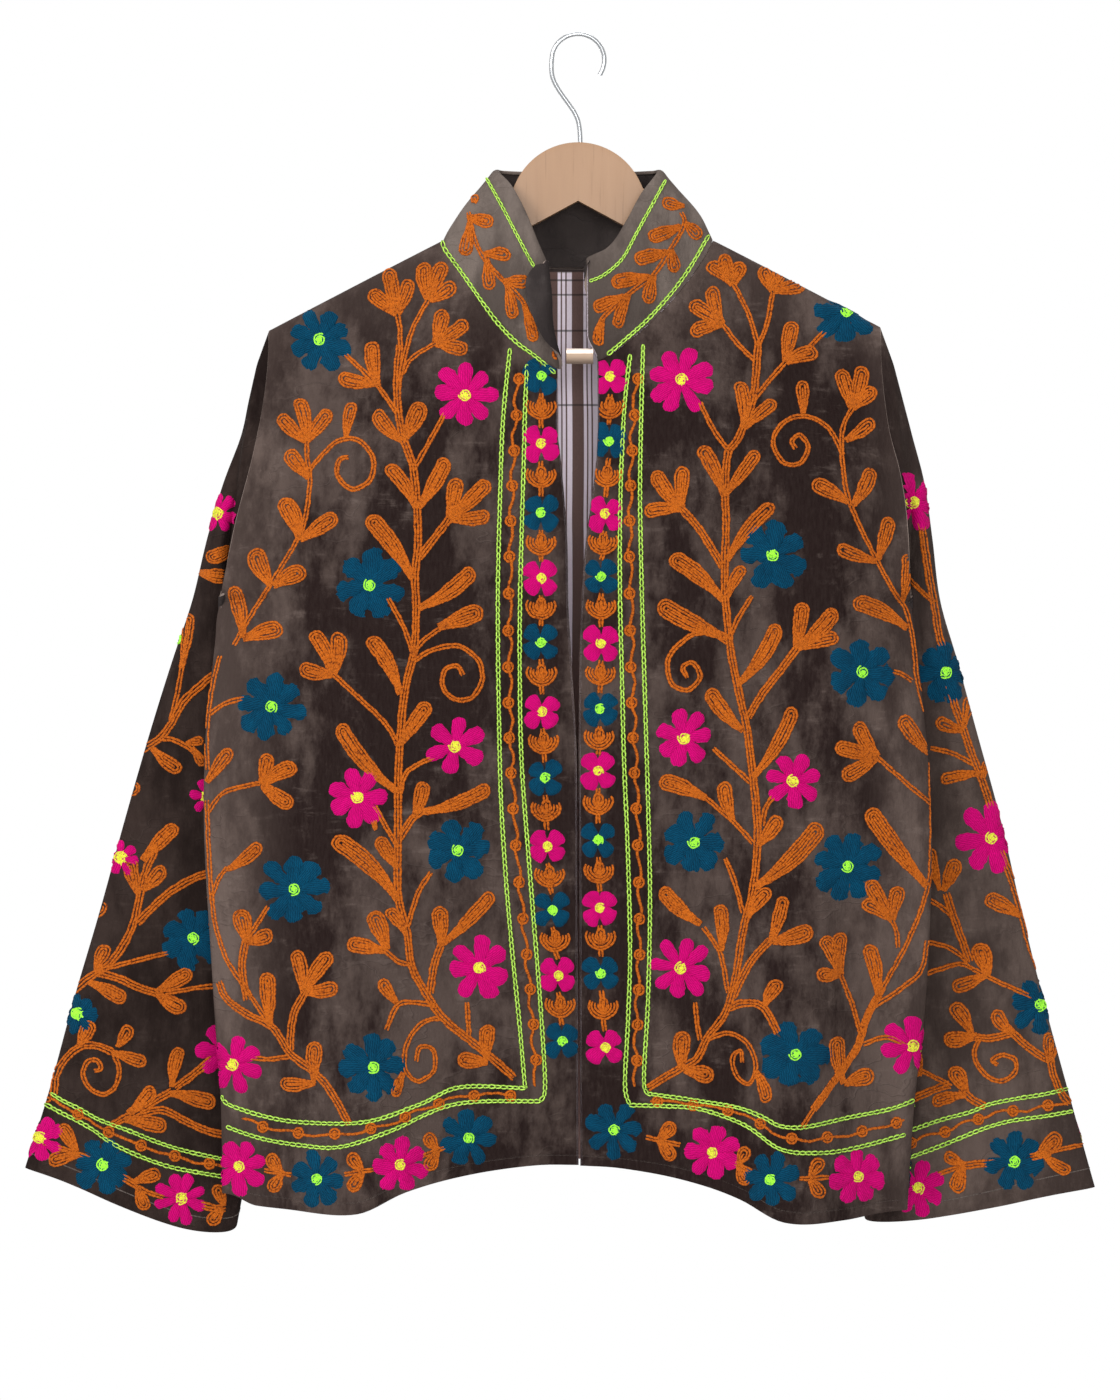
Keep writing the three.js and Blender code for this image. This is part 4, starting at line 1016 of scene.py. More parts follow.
class Yarn:
    """Stitching in one yarn, gathered in one mesh."""

    def __init__(self, name, material, ground, seed):
        self.name, self.material, self.ground = name, material, ground
        self.chance = random.Random(seed)
        self.fine = ground.eye.y < 0  # the hidden sides have fewer faces
        self.bm = bmesh.new()
        self.map = self.bm.loops.layers.uv.new("stitch")

    def grid(self, columns, rows, place):
        """Adds a grid; place(u, v) gives a point, its map and its outer side, or None to drop it."""
        spots = {}
        for i in range(columns + 1):
            for j in range(rows + 1):
                spot = place(i / columns, j / rows)
                if spot is None:
                    return
                spots[i, j] = spot
        made = bmesh.ops.create_grid(self.bm, x_segments=columns, y_segments=rows, size=0.5)
        keys = {}
        for vert in made["verts"]:
            key = round((vert.co.x + 0.5) * columns), round((vert.co.y + 0.5) * rows)
            keys[vert] = key
            vert.co = spots[key][0]
        for face in {face for vert in made["verts"] for face in vert.link_faces}:
            for loop in face.loops:
                loop[self.map].uv = spots[keys[loop.vert]][1]
            face.normal_update()
            outer = sum((spots[keys[vert]][2] for vert in face.verts), Vector())
            if face.normal.dot(outer) < 0:
                face.normal_flip()

    def row(self, points, width=2.2, height=1.1, step=2.0, wobble=0.8):
        """One row of stitches along a curve; it breaks off where there is no cloth."""
        step *= 1 if self.fine else HIDDEN_STEP
        offset = self.chance.uniform(0, 90)
        run = []
        for k, (px, py) in enumerate(curve_through(points, step)):
            px += wobble * noise.noise(Vector((k * 0.3, offset, 0)))
            py += wobble * noise.noise(Vector((k * 0.3, offset, 9)))
            spot = self.ground.at(px, py)
            if spot is None or (run and (spot[0] - run[-1][0]).length > step * STEP * 4):
                self.ribbon(run, width, height)
                run = []
            if spot is not None:
                run.append(spot)
        self.ribbon(run, width, height)

    def ribbon(self, run, width, height):
        """A low, round-backed strip of yarn along places and normals."""
        if len(run) < 3:
            return
        last = len(run) - 1
        frames, length = [], 0.0
        for k, (place, normal) in enumerate(run):
            ahead = (run[min(last, k + 1)][0] - run[max(0, k - 1)][0])
            if ahead.length < 1e-6:
                return
            if k:
                length += (place - run[k - 1][0]).length
            frames.append((place, normal, normal.cross(ahead).normalized(), length))
        start = self.chance.uniform(0, 0.01)
        wide = width * self.chance.uniform(0.92, 1.08) / 2

        def place(u, v):
            spot, normal, side, far = frames[round(u * last)]
            across = 2 * v - 1
            end = min(1.0, (min(u, 1 - u) * last + 0.45) / 1.2)
            loose = 0.16 * noise.noise(Vector((far * 0.4, start * 900, width)))
            swell = (0.9 + loose + 0.1 * math.cos(far / 3.4 * 2 * math.pi)) * math.sqrt(end)
            lift = height * (1 - across * across) * (0.6 + 0.4 * end) - 0.12
            point = spot + side * (across * wide * swell) + normal * lift
            return point, (start + far * 0.001, across * wide * 0.001), normal

        self.grid(last, 3 if self.fine else 2, place)

    def stem(self, points, rows=2):
        """Rows side by side along a curve."""
        for i in range(rows):
            off = (i - (rows - 1) / 2) * ROW_GAP
            self.row(beside(points, off), 2.15)

    def leaf(self, base, tip, width=15, bend=0.0, neck=0.32):
        """Nested rows that run up one side of the leaf, round its tip and down the other."""
        (bx, by), (tx, ty) = base, tip
        length = math.hypot(tx - bx, ty - by)
        if length < 4:
            return
        width *= self.chance.uniform(1.06, 1.2)
        ax, ay = (tx - bx) / length, (ty - by) / length
        sx, sy = -ay, ax
        bend = bend or self.chance.uniform(-0.07, 0.07)
        half = width / 2
        full = 0.62  # the leaf is at its widest from here on

        def spot(s, off):
            bow = bend * length * 4 * s * (1 - s)
            return bx + ax * length * s + sx * (off + bow), by + ay * length * s + sy * (off + bow)

        inset = 1.3
        while inset < half - 0.4:
            side = half - inset
            end = 1 - inset / length
            cap = end - side / length
            rise, fall = [], []
            for k in range(7):
                s = cap * k / 6
                off = side * mix(neck, 1, smooth(s / full))
                rise.append(spot(s, -off))
                fall.append(spot(s, off))
            round_tip = [spot(cap + math.sin(a) * side / length, -math.cos(a) * side)
                         for a in (0.5, 1.05, math.pi / 2, 2.09, 2.64)]
            self.row(rise + round_tip + fall[::-1])
            inset += self.chance.uniform(2.45, 3.0)
        if inset - half < 1.6:
            self.row([spot(0.02, 0), spot(0.5, 0), spot(1 - (inset + 0.5) / length, 0)])

    def bud(self, base, *tips):
        """Leaves that spread from one place."""
        for tip in tips:
            self.leaf(base, tip, BUD_WIDTH, neck=0.45)

    def petal(self, middle, angle, start, end, width, blunt=0.3, ragged=0.12):
        """A filled pad that widens outwards from a flower's middle and ends bluntly."""
        cos, sin = math.cos(angle), math.sin(angle)
        jitter = self.chance.uniform(0.9, 1.05)
        wide = width * self.chance.uniform(0.88, 1.14)
        bend = self.chance.uniform(-0.09, 0.09)
        origin = self.chance.uniform(0, 0.05)

        def place(u, v):
            across = 2 * v - 1
            u = math.sin(u * math.pi / 2)
            body = mix(0.5, 1, smooth(u / 0.72))
            if u > 1 - blunt:
                body *= math.sqrt(max(0, 1 - ((u - 1 + blunt) / blunt) ** 2.8))
            far = mix(start, end * jitter, u)
            ragging = noise.noise(Vector((far * 0.22, across * 2.0, angle * 7 + middle[0])))
            side = across * wide / 2 * body * (1 + 2 * ragged * ragging) + bend * far * u
            far += ragged * 9 * u * noise.noise(Vector((across * 1.8, angle * 5, middle[1])))
            px = middle[0] + cos * far - sin * side
            py = middle[1] + sin * far + cos * side
            spot = self.ground.near(px, py, middle)
            if spot is None:
                return None
            edge = (1 - abs(across) ** 3) * (1 - max(0, (u - 0.7) / 0.3) ** 3)
            lumps = 0.3 * noise.noise(Vector((far * 0.35, side * 0.5, angle * 3)))
            point = spot[0] + spot[1] * (PETAL_HEIGHT * edge * (1 + lumps) - SUNK)
            return point, (origin + far * STEP * 0.001, side * STEP * 0.001), spot[1]

        self.grid(*((10, 8) if self.fine else (7, 6)), place)

    def disc(self, middle, radius, height, lumpy):
        """A low round pad with an uneven rim."""
        turned = self.chance.uniform(0, 6)

        def place(u, v):
            angle = 2 * math.pi * u + turned
            wave = 1 + lumpy * 0.5 * noise.noise(Vector((math.cos(angle), math.sin(angle), turned)))
            far = radius * v * wave
            x, y = far * math.cos(angle), far * math.sin(angle)
            spot = self.ground.near(middle[0] + x, middle[1] + y, middle)
            if spot is None:
                return None
            lump = lumpy * noise.noise(Vector((x * 0.4, y * 0.4, turned)))
            point = spot[0] + spot[1] * (height * math.sqrt(max(0, 1 - v ** 3)) * (1 + lump) - SUNK)
            return point, (u * radius * STEP * 0.006, 0.0002), spot[1]

        self.grid(16, 4, place)

    def heart(self, middle, radius):
        """A flower's middle: a low disc with a coil of chain stitches on it."""
        self.disc(middle, radius * 1.02, 1.35, 0.2)
        turned = self.chance.uniform(0, 6)
        coil = []
        for k in range(26):
            far = mix(radius * 0.26, radius * 0.80, k / 25) * (1 + 0.05 * math.sin(k * 2.1))
            angle = turned + k * 0.46
            coil.append((middle[0] + far * math.cos(angle), middle[1] + far * math.sin(angle)))
        self.row(coil, 2.1, 1.95, 1.3, 0.2)

    def chain(self, points, width=4.8, link=6.0, thick=0.6):
        """Chain stitches as real loops, each caught in the one before."""
        path = curve_through(points, link)
        spots = [self.ground.at(*point) for point in path]
        for k in range(len(spots) - 1):
            if spots[k] is None or spots[k + 1] is None:
                continue
            (place, normal), (ahead, _) = spots[k], spots[k + 1]
            forward = ahead - place
            if not 0.5 < forward.length < link * STEP * 3:
                continue
            side = normal.cross(forward).normalized()
            middle = (place + ahead) / 2
            long_half = forward.length * self.chance.uniform(0.60, 0.68)
            wide_half = (width * STEP / 2 - thick) * self.chance.uniform(0.85, 1.15)
            forward.normalize()

            def loop(u, v):
                turn, round_ = 2 * math.pi * u, 2 * math.pi * v
                out = side * (wide_half * math.sin(turn) * (1 + 0.25 * math.cos(turn)))
                run = forward * (long_half * math.cos(turn))
                radial = (out.normalized() if out.length > 0.2 else run.normalized())
                lift = normal * (0.45 - 0.3 * math.cos(turn))
                tube = radial * (thick * math.cos(round_)) + normal * (thick * math.sin(round_))
                return middle + out + run + lift + tube, (u * 0.011, (v - 0.5) * 0.002), tube

            self.grid(9 if self.fine else 7, 4, loop)

    def finish(self):
        """The yarn's piece, or nothing if no stitch found cloth."""
        if not self.bm.faces:
            self.bm.free()
            return None
        bmesh.ops.remove_doubles(self.bm, verts=self.bm.verts, dist=0.0005)
        self.bm.normal_update()
        return new_piece(self.name, self.bm, [self.material])


def beside(points, off):
    """The curve moved sideways."""
    if abs(off) < 0.01:
        return points
    out = []
    for i, (x, y) in enumerate(points):
        ax, ay = points[max(0, i - 1)]
        bx, by = points[min(len(points) - 1, i + 1)]
        far = math.hypot(bx - ax, by - ay) or 1
        out.append((x - (by - ay) / far * off, y + (bx - ax) / far * off))
    return out


# Layouts, in steps: stems (rows, points), leaves (base, tip, width), buds (base, tips), flowers (colour,
# place, radius, petals), chains, fine chains, beaded lines, the band of small flowers beside the front
# edge, and the flowers along the hem (both colour and place). What a layout leaves out it doesn't have.
RIGHT_FRONT = {
    "stems": (
        (3, ((400, 345), (397, 375), (398, 408), (403, 438), (413, 467), (417, 507), (418, 543), (415, 577),
             (416, 610), (414, 650), (405, 690), (400, 737), (398, 793), (398, 830), (398, 893), (407, 933),
             (412, 967), (427, 995), (443, 1018), (472, 1042), (498, 1063), (514, 1078))),
        (2, ((397, 313), (400, 330), (400, 348))), (2, ((428, 300), (412, 330), (402, 368), (398, 390))),
        (2, ((436, 343), (412, 358), (403, 374))), (2, ((397, 413), (377, 385), (345, 354))),
        (2, ((413, 470), (427, 446), (446, 411))), (3, ((419, 558), (435, 537), (450, 518))),
        (2, ((412, 652), (405, 630), (388, 598))), (2, ((412, 656), (423, 641), (440, 628))),
        (2, ((413, 662), (432, 650), (458, 646), (478, 660), (482, 680), (472, 697), (455, 699), (443, 687),
             (445, 670), (457, 666), (463, 675))),
        (2, ((332, 673), (358, 697), (385, 723), (398, 745))),
        (2, ((307, 440), (307, 457), (310, 480), (305, 520), (297, 540), (275, 577), (248, 620), (234, 645))),
        (2, ((308, 472), (322, 455), (338, 441), (358, 440), (373, 458), (370, 480), (352, 489), (338, 476),
             (339, 460), (349, 457))),
        (2, ((400, 793), (408, 771), (436, 756))), (3, ((400, 838), (411, 820), (422, 811))),
        (2, ((407, 928), (418, 893), (431, 872))), (3, ((430, 993), (434, 965), (441, 945))),
        (2, ((412, 965), (398, 961), (384, 950))), (2, ((437, 1006), (412, 1002), (397, 1006), (386, 1030))),
        (2, ((441, 1018), (422, 1023), (407, 1043), (405, 1068), (418, 1081), (434, 1070), (433, 1050),
             (420, 1047), (416, 1062))),
        (2, ((469, 1036), (468, 1018), (467, 1002))),
        (3, ((349, 1124), (330, 1090), (315, 1073), (290, 1053), (272, 1027), (245, 1013), (226, 998),
             (219, 982))),
        (2, ((271, 1027), (247, 990), (227, 960), (216, 927), (212, 897), (209, 850), (207, 800))),
        (2, ((290, 1056), (270, 1059), (248, 1057))), (3, ((290, 1050), (293, 1017), (305, 992))),
        (3, ((247, 1000), (242, 967), (246, 940))), (2, ((247, 940), (257, 924), (268, 906))),
        (2, ((211, 900), (218, 880), (228, 867))), (2, ((208, 812), (225, 792), (260, 783))),
        (2, ((209, 714), (226, 703), (245, 698))), (2, ((208, 770), (207, 735), (212, 690), (220, 655))),
        (2, ((398, 847), (388, 830), (375, 806))),
    ),
    "leaves": (
        ((378, 386), (372, 341), 14), ((376, 384), (338, 377), 14), ((402, 441), (375, 410), 14),
        ((403, 441), (422, 402), 16), ((416, 508), (387, 465), 14), ((418, 508), (447, 458), 15),
        ((413, 579), (368, 516), 16), ((418, 608), (474, 569), 15), ((438, 627), (483, 610), 16),
        ((400, 694), (369, 637), 15), ((346, 438), (353, 402), 12), ((309, 478), (287, 450), 15),
        ((300, 540), (282, 498), 18), ((300, 540), (337, 515), 16), ((272, 586), (254, 548), 17),
        ((273, 586), (306, 570), 17), ((243, 638), (233, 586), 14), ((243, 639), (283, 628), 16),
        ((400, 745), (429, 703), 15), ((398, 792), (339, 724), 14), ((414, 818), (424, 781), 14),
        ((420, 812), (490, 787), 14), ((397, 868), (378, 837), 13), ((398, 900), (333, 838), 16),
        ((406, 934), (387, 909), 11), ((441, 946), (439, 906), 15), ((443, 944), (493, 893), 13),
        ((387, 950), (372, 911), 17), ((386, 951), (347, 943), 14), ((397, 1003), (381, 979), 12),
        ((403, 1072), (394, 1097), 10), ((487, 1060), (489, 1024), 14), ((488, 1062), (457, 1059), 14),
        ((314, 1080), (315, 1041), 14), ((316, 1082), (280, 1083), 14), ((270, 1024), (267, 972), 14),
        ((247, 943), (239, 909), 16), ((248, 943), (273, 933), 15), ((227, 870), (261, 844), 13),
        ((207, 782), (231, 749), 13), ((376, 830), (370, 806), 8),
    ),
    "buds": (
        ((397, 314), (388, 268), (410, 279), (369, 291)), ((429, 300), (424, 262), (444, 262), (455, 283)),
        ((436, 343), (443, 309), (468, 322), (468, 350)), ((450, 518), (457, 478), (489, 481), (490, 515)),
        ((333, 674), (312, 631), (338, 632), (299, 667)), ((306, 441), (279, 415), (298, 398), (330, 410)),
        ((304, 992), (296, 950), (331, 953), (338, 987)), ((262, 784), (268, 753), (297, 766), (293, 806)),
    ),
    "flowers": (
        ("teal", 320, 340, 33, 8), ("pink", 465, 395, 34, 8), ("teal", 370, 585, 37, 7),
        ("teal", 271, 707, 35, 8), ("pink", 455, 746, 31, 6), ("pink", 358, 797, 33, 7),
        ("teal", 458, 850, 35, 7), ("teal", 294, 889, 37, 8), ("pink", 479, 968, 33, 7),
        ("teal", 373, 1067, 36, 8), ("pink", 233, 1064, 30, 7),
    ),
    "chains": (
        ((510, 349), (503, 420), (500, 500), (498, 580), (498, 650), (499, 720), (501, 800), (506, 880),
         (512, 950), (519, 1020), (525, 1088)),
        ((525, 1088), (460, 1087), (420, 1104), (365, 1122), (300, 1122), (260, 1115), (228, 1104),
         (222, 1096)),
        ((527, 365), (525, 410), (524, 450), (520, 600), (520, 700), (522, 770), (528, 850), (534, 925),
         (540, 1000), (545, 1085), (540, 1101)),
        ((540, 1101), (455, 1104), (390, 1131), (340, 1147), (300, 1145), (260, 1138), (225, 1126)),
    ),
    "beads": (((518, 372), (514, 440), (511, 520), (510, 600), (510, 680), (512, 760), (517, 850), (524, 930),
               (531, 1010), (536, 1085)),
              ((515, 1095), (470, 1095), (430, 1106), (380, 1127), (330, 1135), (280, 1130), (240, 1118))),
    "band": (("teal", 541, 376), ("pink", 541, 444), ("teal", 541, 513), ("pink", 541, 578),
             ("teal", 541, 642), ("pink", 542, 711), ("teal", 545, 778), ("pink", 547, 846),
             ("teal", 552, 910), ("pink", 558, 975), ("teal", 562, 1041)),
    "hem": (("teal", 468, 1138), ("pink", 400, 1165), ("teal", 317, 1179), ("pink", 239, 1166)),
}
LEFT_FRONT = {
    "stems": (
        (3, ((758, 343), (755, 383), (750, 410), (737, 440), (728, 453), (725, 487), (726, 523), (725, 560),
             (725, 593), (728, 627), (732, 660), (740, 697), (747, 730), (753, 777), (757, 820), (757, 853),
             (752, 893), (743, 930), (735, 980), (725, 1013), (707, 1038), (697, 1058), (677, 1070),
             (647, 1088))),
        (2, ((733, 283), (742, 300), (750, 318), (758, 345))), (2, ((773, 292), (767, 323), (758, 346))),
        (2, ((722, 323), (737, 343), (755, 361))), (2, ((785, 362), (767, 383), (753, 401))),
        (2, ((730, 452), (712, 427), (700, 402))), (3, ((680, 507), (700, 530), (723, 567))),
        (2, ((729, 640), (738, 618), (752, 596))), (2, ((806, 351), (818, 338), (832, 324))),
        (2, ((727, 643), (711, 633), (690, 636), (669, 657), (671, 682), (687, 690), (700, 677), (693, 663),
             (683, 667), (687, 678))),
        (3, ((798, 647), (783, 667), (760, 697), (748, 718))),
        (2, ((853, 407), (843, 427), (842, 457), (847, 493), (857, 520), (873, 553), (893, 590), (907, 613),
             (914, 650), (917, 680), (926, 720), (930, 773), (931, 847), (926, 893), (907, 943), (883, 987),
             (867, 1017), (857, 1047), (837, 1077), (813, 1110), (802, 1128))),
        (3, ((883, 987), (867, 1017), (857, 1047), (837, 1077), (813, 1110))),
        (2, ((843, 455), (830, 430), (810, 417), (787, 420), (773, 440), (783, 462), (800, 463), (808, 447),
             (800, 435), (792, 441), (796, 449))),
        (2, ((893, 671), (902, 674), (912, 681))), (2, ((750, 782), (735, 768), (713, 748))),
        (2, ((753, 843), (735, 823), (720, 810), (705, 797))), (2, ((762, 826), (765, 810), (773, 796))),
        (2, ((743, 913), (735, 883), (725, 858))), (2, ((728, 993), (720, 953), (703, 927))),
        (3, ((733, 997), (750, 963), (770, 940))), (3, ((730, 1008), (743, 1003), (763, 1007), (778, 1033))),
        (2, ((707, 1040), (727, 1033), (747, 1043), (756, 1067), (748, 1084), (735, 1073), (733, 1056),
             (741, 1051), (742, 1063))),
        (2, ((700, 1040), (697, 1022), (695, 1002))), (2, ((877, 757), (903, 780), (930, 803))),
        (2, ((892, 920), (897, 934), (898, 948))), (2, ((840, 973), (853, 1007), (860, 1032))),
        (2, ((863, 1044), (887, 1037), (907, 1046))), (2, ((873, 1007), (903, 987), (921, 970), (927, 940))),
    ),
    "leaves": (
        ((743, 428), (739, 381), 14), ((744, 428), (776, 401), 12), ((724, 495), (701, 446), 14),
        ((725, 495), (758, 451), 12), ((727, 560), (773, 504), 13), ((723, 600), (670, 556), 17),
        ((727, 598), (744, 566), 11), ((728, 638), (658, 603), 16), ((738, 684), (778, 624), 14),
        ((845, 441), (874, 420), 12), ((803, 414), (802, 380), 12), ((848, 502), (812, 482), 15),
        ((852, 506), (872, 468), 14), ((877, 561), (837, 547), 13), ((878, 560), (890, 517), 14),
        ((902, 602), (908, 553), 12), ((907, 628), (853, 601), 15), ((743, 731), (708, 689), 15),
        ((753, 777), (794, 707), 13), ((706, 798), (659, 780), 15), ((733, 820), (724, 781), 14),
        ((758, 845), (780, 816), 14), ((755, 887), (821, 824), 18), ((748, 917), (770, 889), 13),
        ((701, 924), (661, 888), 15), ((721, 951), (719, 904), 14), ((770, 943), (784, 896), 13),
        ((772, 942), (813, 930), 16), ((764, 1006), (781, 981), 13), ((755, 1070), (767, 1103), 12),
        ((682, 1070), (683, 1031), 15), ((684, 1070), (714, 1077), 16), ((930, 755), (901, 716), 14),
        ((927, 886), (868, 809), 16), ((878, 998), (868, 944), 14), ((843, 1084), (837, 1036), 14),
        ((844, 1084), (874, 1074), 15),
    ),
    "buds": (
        ((733, 284), (707, 264), (723, 254), (742, 262)), ((773, 291), (763, 265), (783, 263), (806, 285)),
        ((722, 324), (712, 286), (690, 303), (690, 333)), ((786, 362), (793, 321), (818, 352)),
        ((681, 508), (683, 466), (654, 471), (644, 512)), ((797, 648), (803, 602), (836, 609), (839, 637)),
        ((852, 408), (840, 369), (863, 366), (876, 388)), ((877, 757), (857, 722), (835, 746), (842, 778)),
        ((892, 920), (868, 880), (899, 886), (862, 902)), ((840, 974), (823, 936), (841, 932), (816, 974)),
    ),
    "flowers": (
        ("teal", 847, 311, 35, 8), ("pink", 681, 380, 35, 8), ("teal", 773, 555, 36, 7),
        ("teal", 862, 672, 36, 7), ("pink", 684, 738, 30, 7), ("pink", 793, 781, 29, 7),
        ("teal", 694, 842, 33, 7), ("teal", 847, 866, 37, 8), ("pink", 681, 968, 33, 8),
        ("teal", 795, 1054, 36, 7), ("pink", 912, 1045, 32, 7),
    ),
    "chains": (
        ((643, 345), (641, 420), (640, 500), (642, 600), (645, 700), (648, 800), (650, 900), (648, 1000),
         (644, 1083), (652, 1094)),
        ((652, 1094), (700, 1101), (740, 1108), (765, 1118), (780, 1126), (805, 1127), (850, 1117),
         (890, 1109), (914, 1100)),
        ((630, 355), (625, 400), (622, 450), (620, 520), (620, 600), (622, 680), (624, 760), (628, 860),
         (630, 950), (628, 1020), (625, 1085), (630, 1105)),
        ((630, 1105), (665, 1106), (700, 1109), (745, 1125), (780, 1149), (815, 1153), (850, 1149),
         (907, 1134)),
    ),
    "beads": (((637, 372), (632, 440), (630, 520), (631, 600), (633, 680), (636, 770), (639, 860), (639, 950),
               (636, 1030), (635, 1085)),
              ((650, 1100), (700, 1105), (745, 1115), (785, 1138), (830, 1138), (870, 1130), (905, 1120))),
    "band": (("pink", 610, 377), ("teal", 609, 441), ("pink", 605, 514), ("teal", 601, 576),
             ("pink", 601, 643), ("teal", 600, 709), ("pink", 598, 771), ("teal", 598, 840),
             ("pink", 600, 908), ("teal", 601, 973), ("pink", 605, 1047)),
    "hem": (("teal", 614, 1130), ("pink", 712, 1152), ("teal", 771, 1180), ("pink", 857, 1176)),
}
RIGHT_SLEEVE = {
    "stems": (
        (2, ((190, 640), (182, 668), (177, 695), (170, 722))),
        (3, ((214, 674), (200, 686), (184, 701), (171, 724), (160, 738), (148, 746), (138, 753))),
        (2, ((160, 738), (174, 740), (186, 746), (196, 753))),
        (3, ((156, 848), (144, 876), (139, 900), (134, 922), (124, 944), (109, 964), (93, 975), (80, 985),
             (70, 996))),
        (3, ((208, 873), (190, 880), (170, 892), (152, 908), (137, 923))),
        (2, ((100, 970), (130, 962), (170, 952))), (3, ((95, 972), (118, 978), (140, 988), (157, 993))),
        (2, ((165, 993), (190, 989), (220, 985))),
        (3, ((54, 1094), (57, 1073), (68, 1056), (82, 1046), (98, 1046), (113, 1052))),
        (2, ((112, 1050), (119, 1068), (116, 1085), (105, 1094), (92, 1090), (83, 1076), (87, 1062),
             (97, 1060), (101, 1068), (94, 1071))),
        (3, ((175, 1088), (195, 1073), (213, 1058))),
        (3, ((112, 1125), (138, 1111), (158, 1099), (172, 1091))),
        (3, ((140, 1114), (162, 1110), (182, 1119), (205, 1130), (226, 1135))),
        (2, ((90, 1158), (76, 1153), (58, 1147), (40, 1142))), (3, ((116, 1174), (126, 1179), (138, 1186))),
        (2, ((138, 1187), (150, 1193), (164, 1197))), (3, ((199, 1204), (214, 1208), (226, 1208))),
    ),
    "leaves": (
        ((236, 544), (206, 559), 14), ((198, 572), (230, 577), 14), ((181, 668), (190, 613), 10),
        ((186, 744), (204, 740), 9), ((192, 747), (204, 766), 9), ((152, 748), (181, 771), 12),
        ((124, 796), (139, 783), 12), ((142, 860), (177, 825), 14), ((139, 894), (130, 858), 14),
        ((142, 890), (164, 866), 13), ((90, 922), (105, 902), 13), ((96, 971), (108, 945), 13),
        ((156, 992), (192, 971), 14), ((156, 993), (186, 1010), 14), ((89, 982), (126, 1001), 14),
        ((79, 1046), (92, 1021), 14), ((117, 1047), (130, 1025), 13), ((112, 1052), (147, 1063), 12),
        ((52, 1080), (55, 1046), 11), ((172, 1087), (180, 1047), 13), ((170, 1093), (216, 1104), 15),
        ((128, 1113), (154, 1087), 13), ((124, 1119), (167, 1127), 15), ((77, 1152), (60, 1124), 14),
        ((80, 1155), (48, 1162), 13), ((134, 1182), (161, 1173), 13), ((137, 1186), (147, 1210), 12),
        ((222, 1207), (208, 1224), 13), ((224, 1206), (216, 1184), 12),
    ),
    "flowers": (
        ("pink", 217, 513, 22, 7), ("pink", 208, 797, 19, 6), ("pink", 121, 858, 19, 7),
        ("teal", 193, 938, 33, 7), ("teal", 78, 1014, 21, 7), ("pink", 226, 1052, 32, 7),
        ("pink", 40, 1138, 25, 7), ("teal", 103, 1165, 30, 7), ("pink", 181, 1198, 27, 8),
        ("teal", 176, 638, 14, 6),
    ),
    "chains": (
        ((38, 1082), (45, 1088), (60, 1099), (80, 1109), (100, 1120), (130, 1131), (160, 1143), (190, 1152),
         (228, 1160)),
        ((36, 1098), (42, 1102), (60, 1112), (80, 1122), (95, 1131), (110, 1142), (130, 1152), (155, 1162),
         (180, 1169), (226, 1177)),
    ),
    "beads": (((40, 1093), (50, 1099), (75, 1112), (100, 1127), (130, 1141), (150, 1149), (180, 1158),
               (222, 1167)),),
}
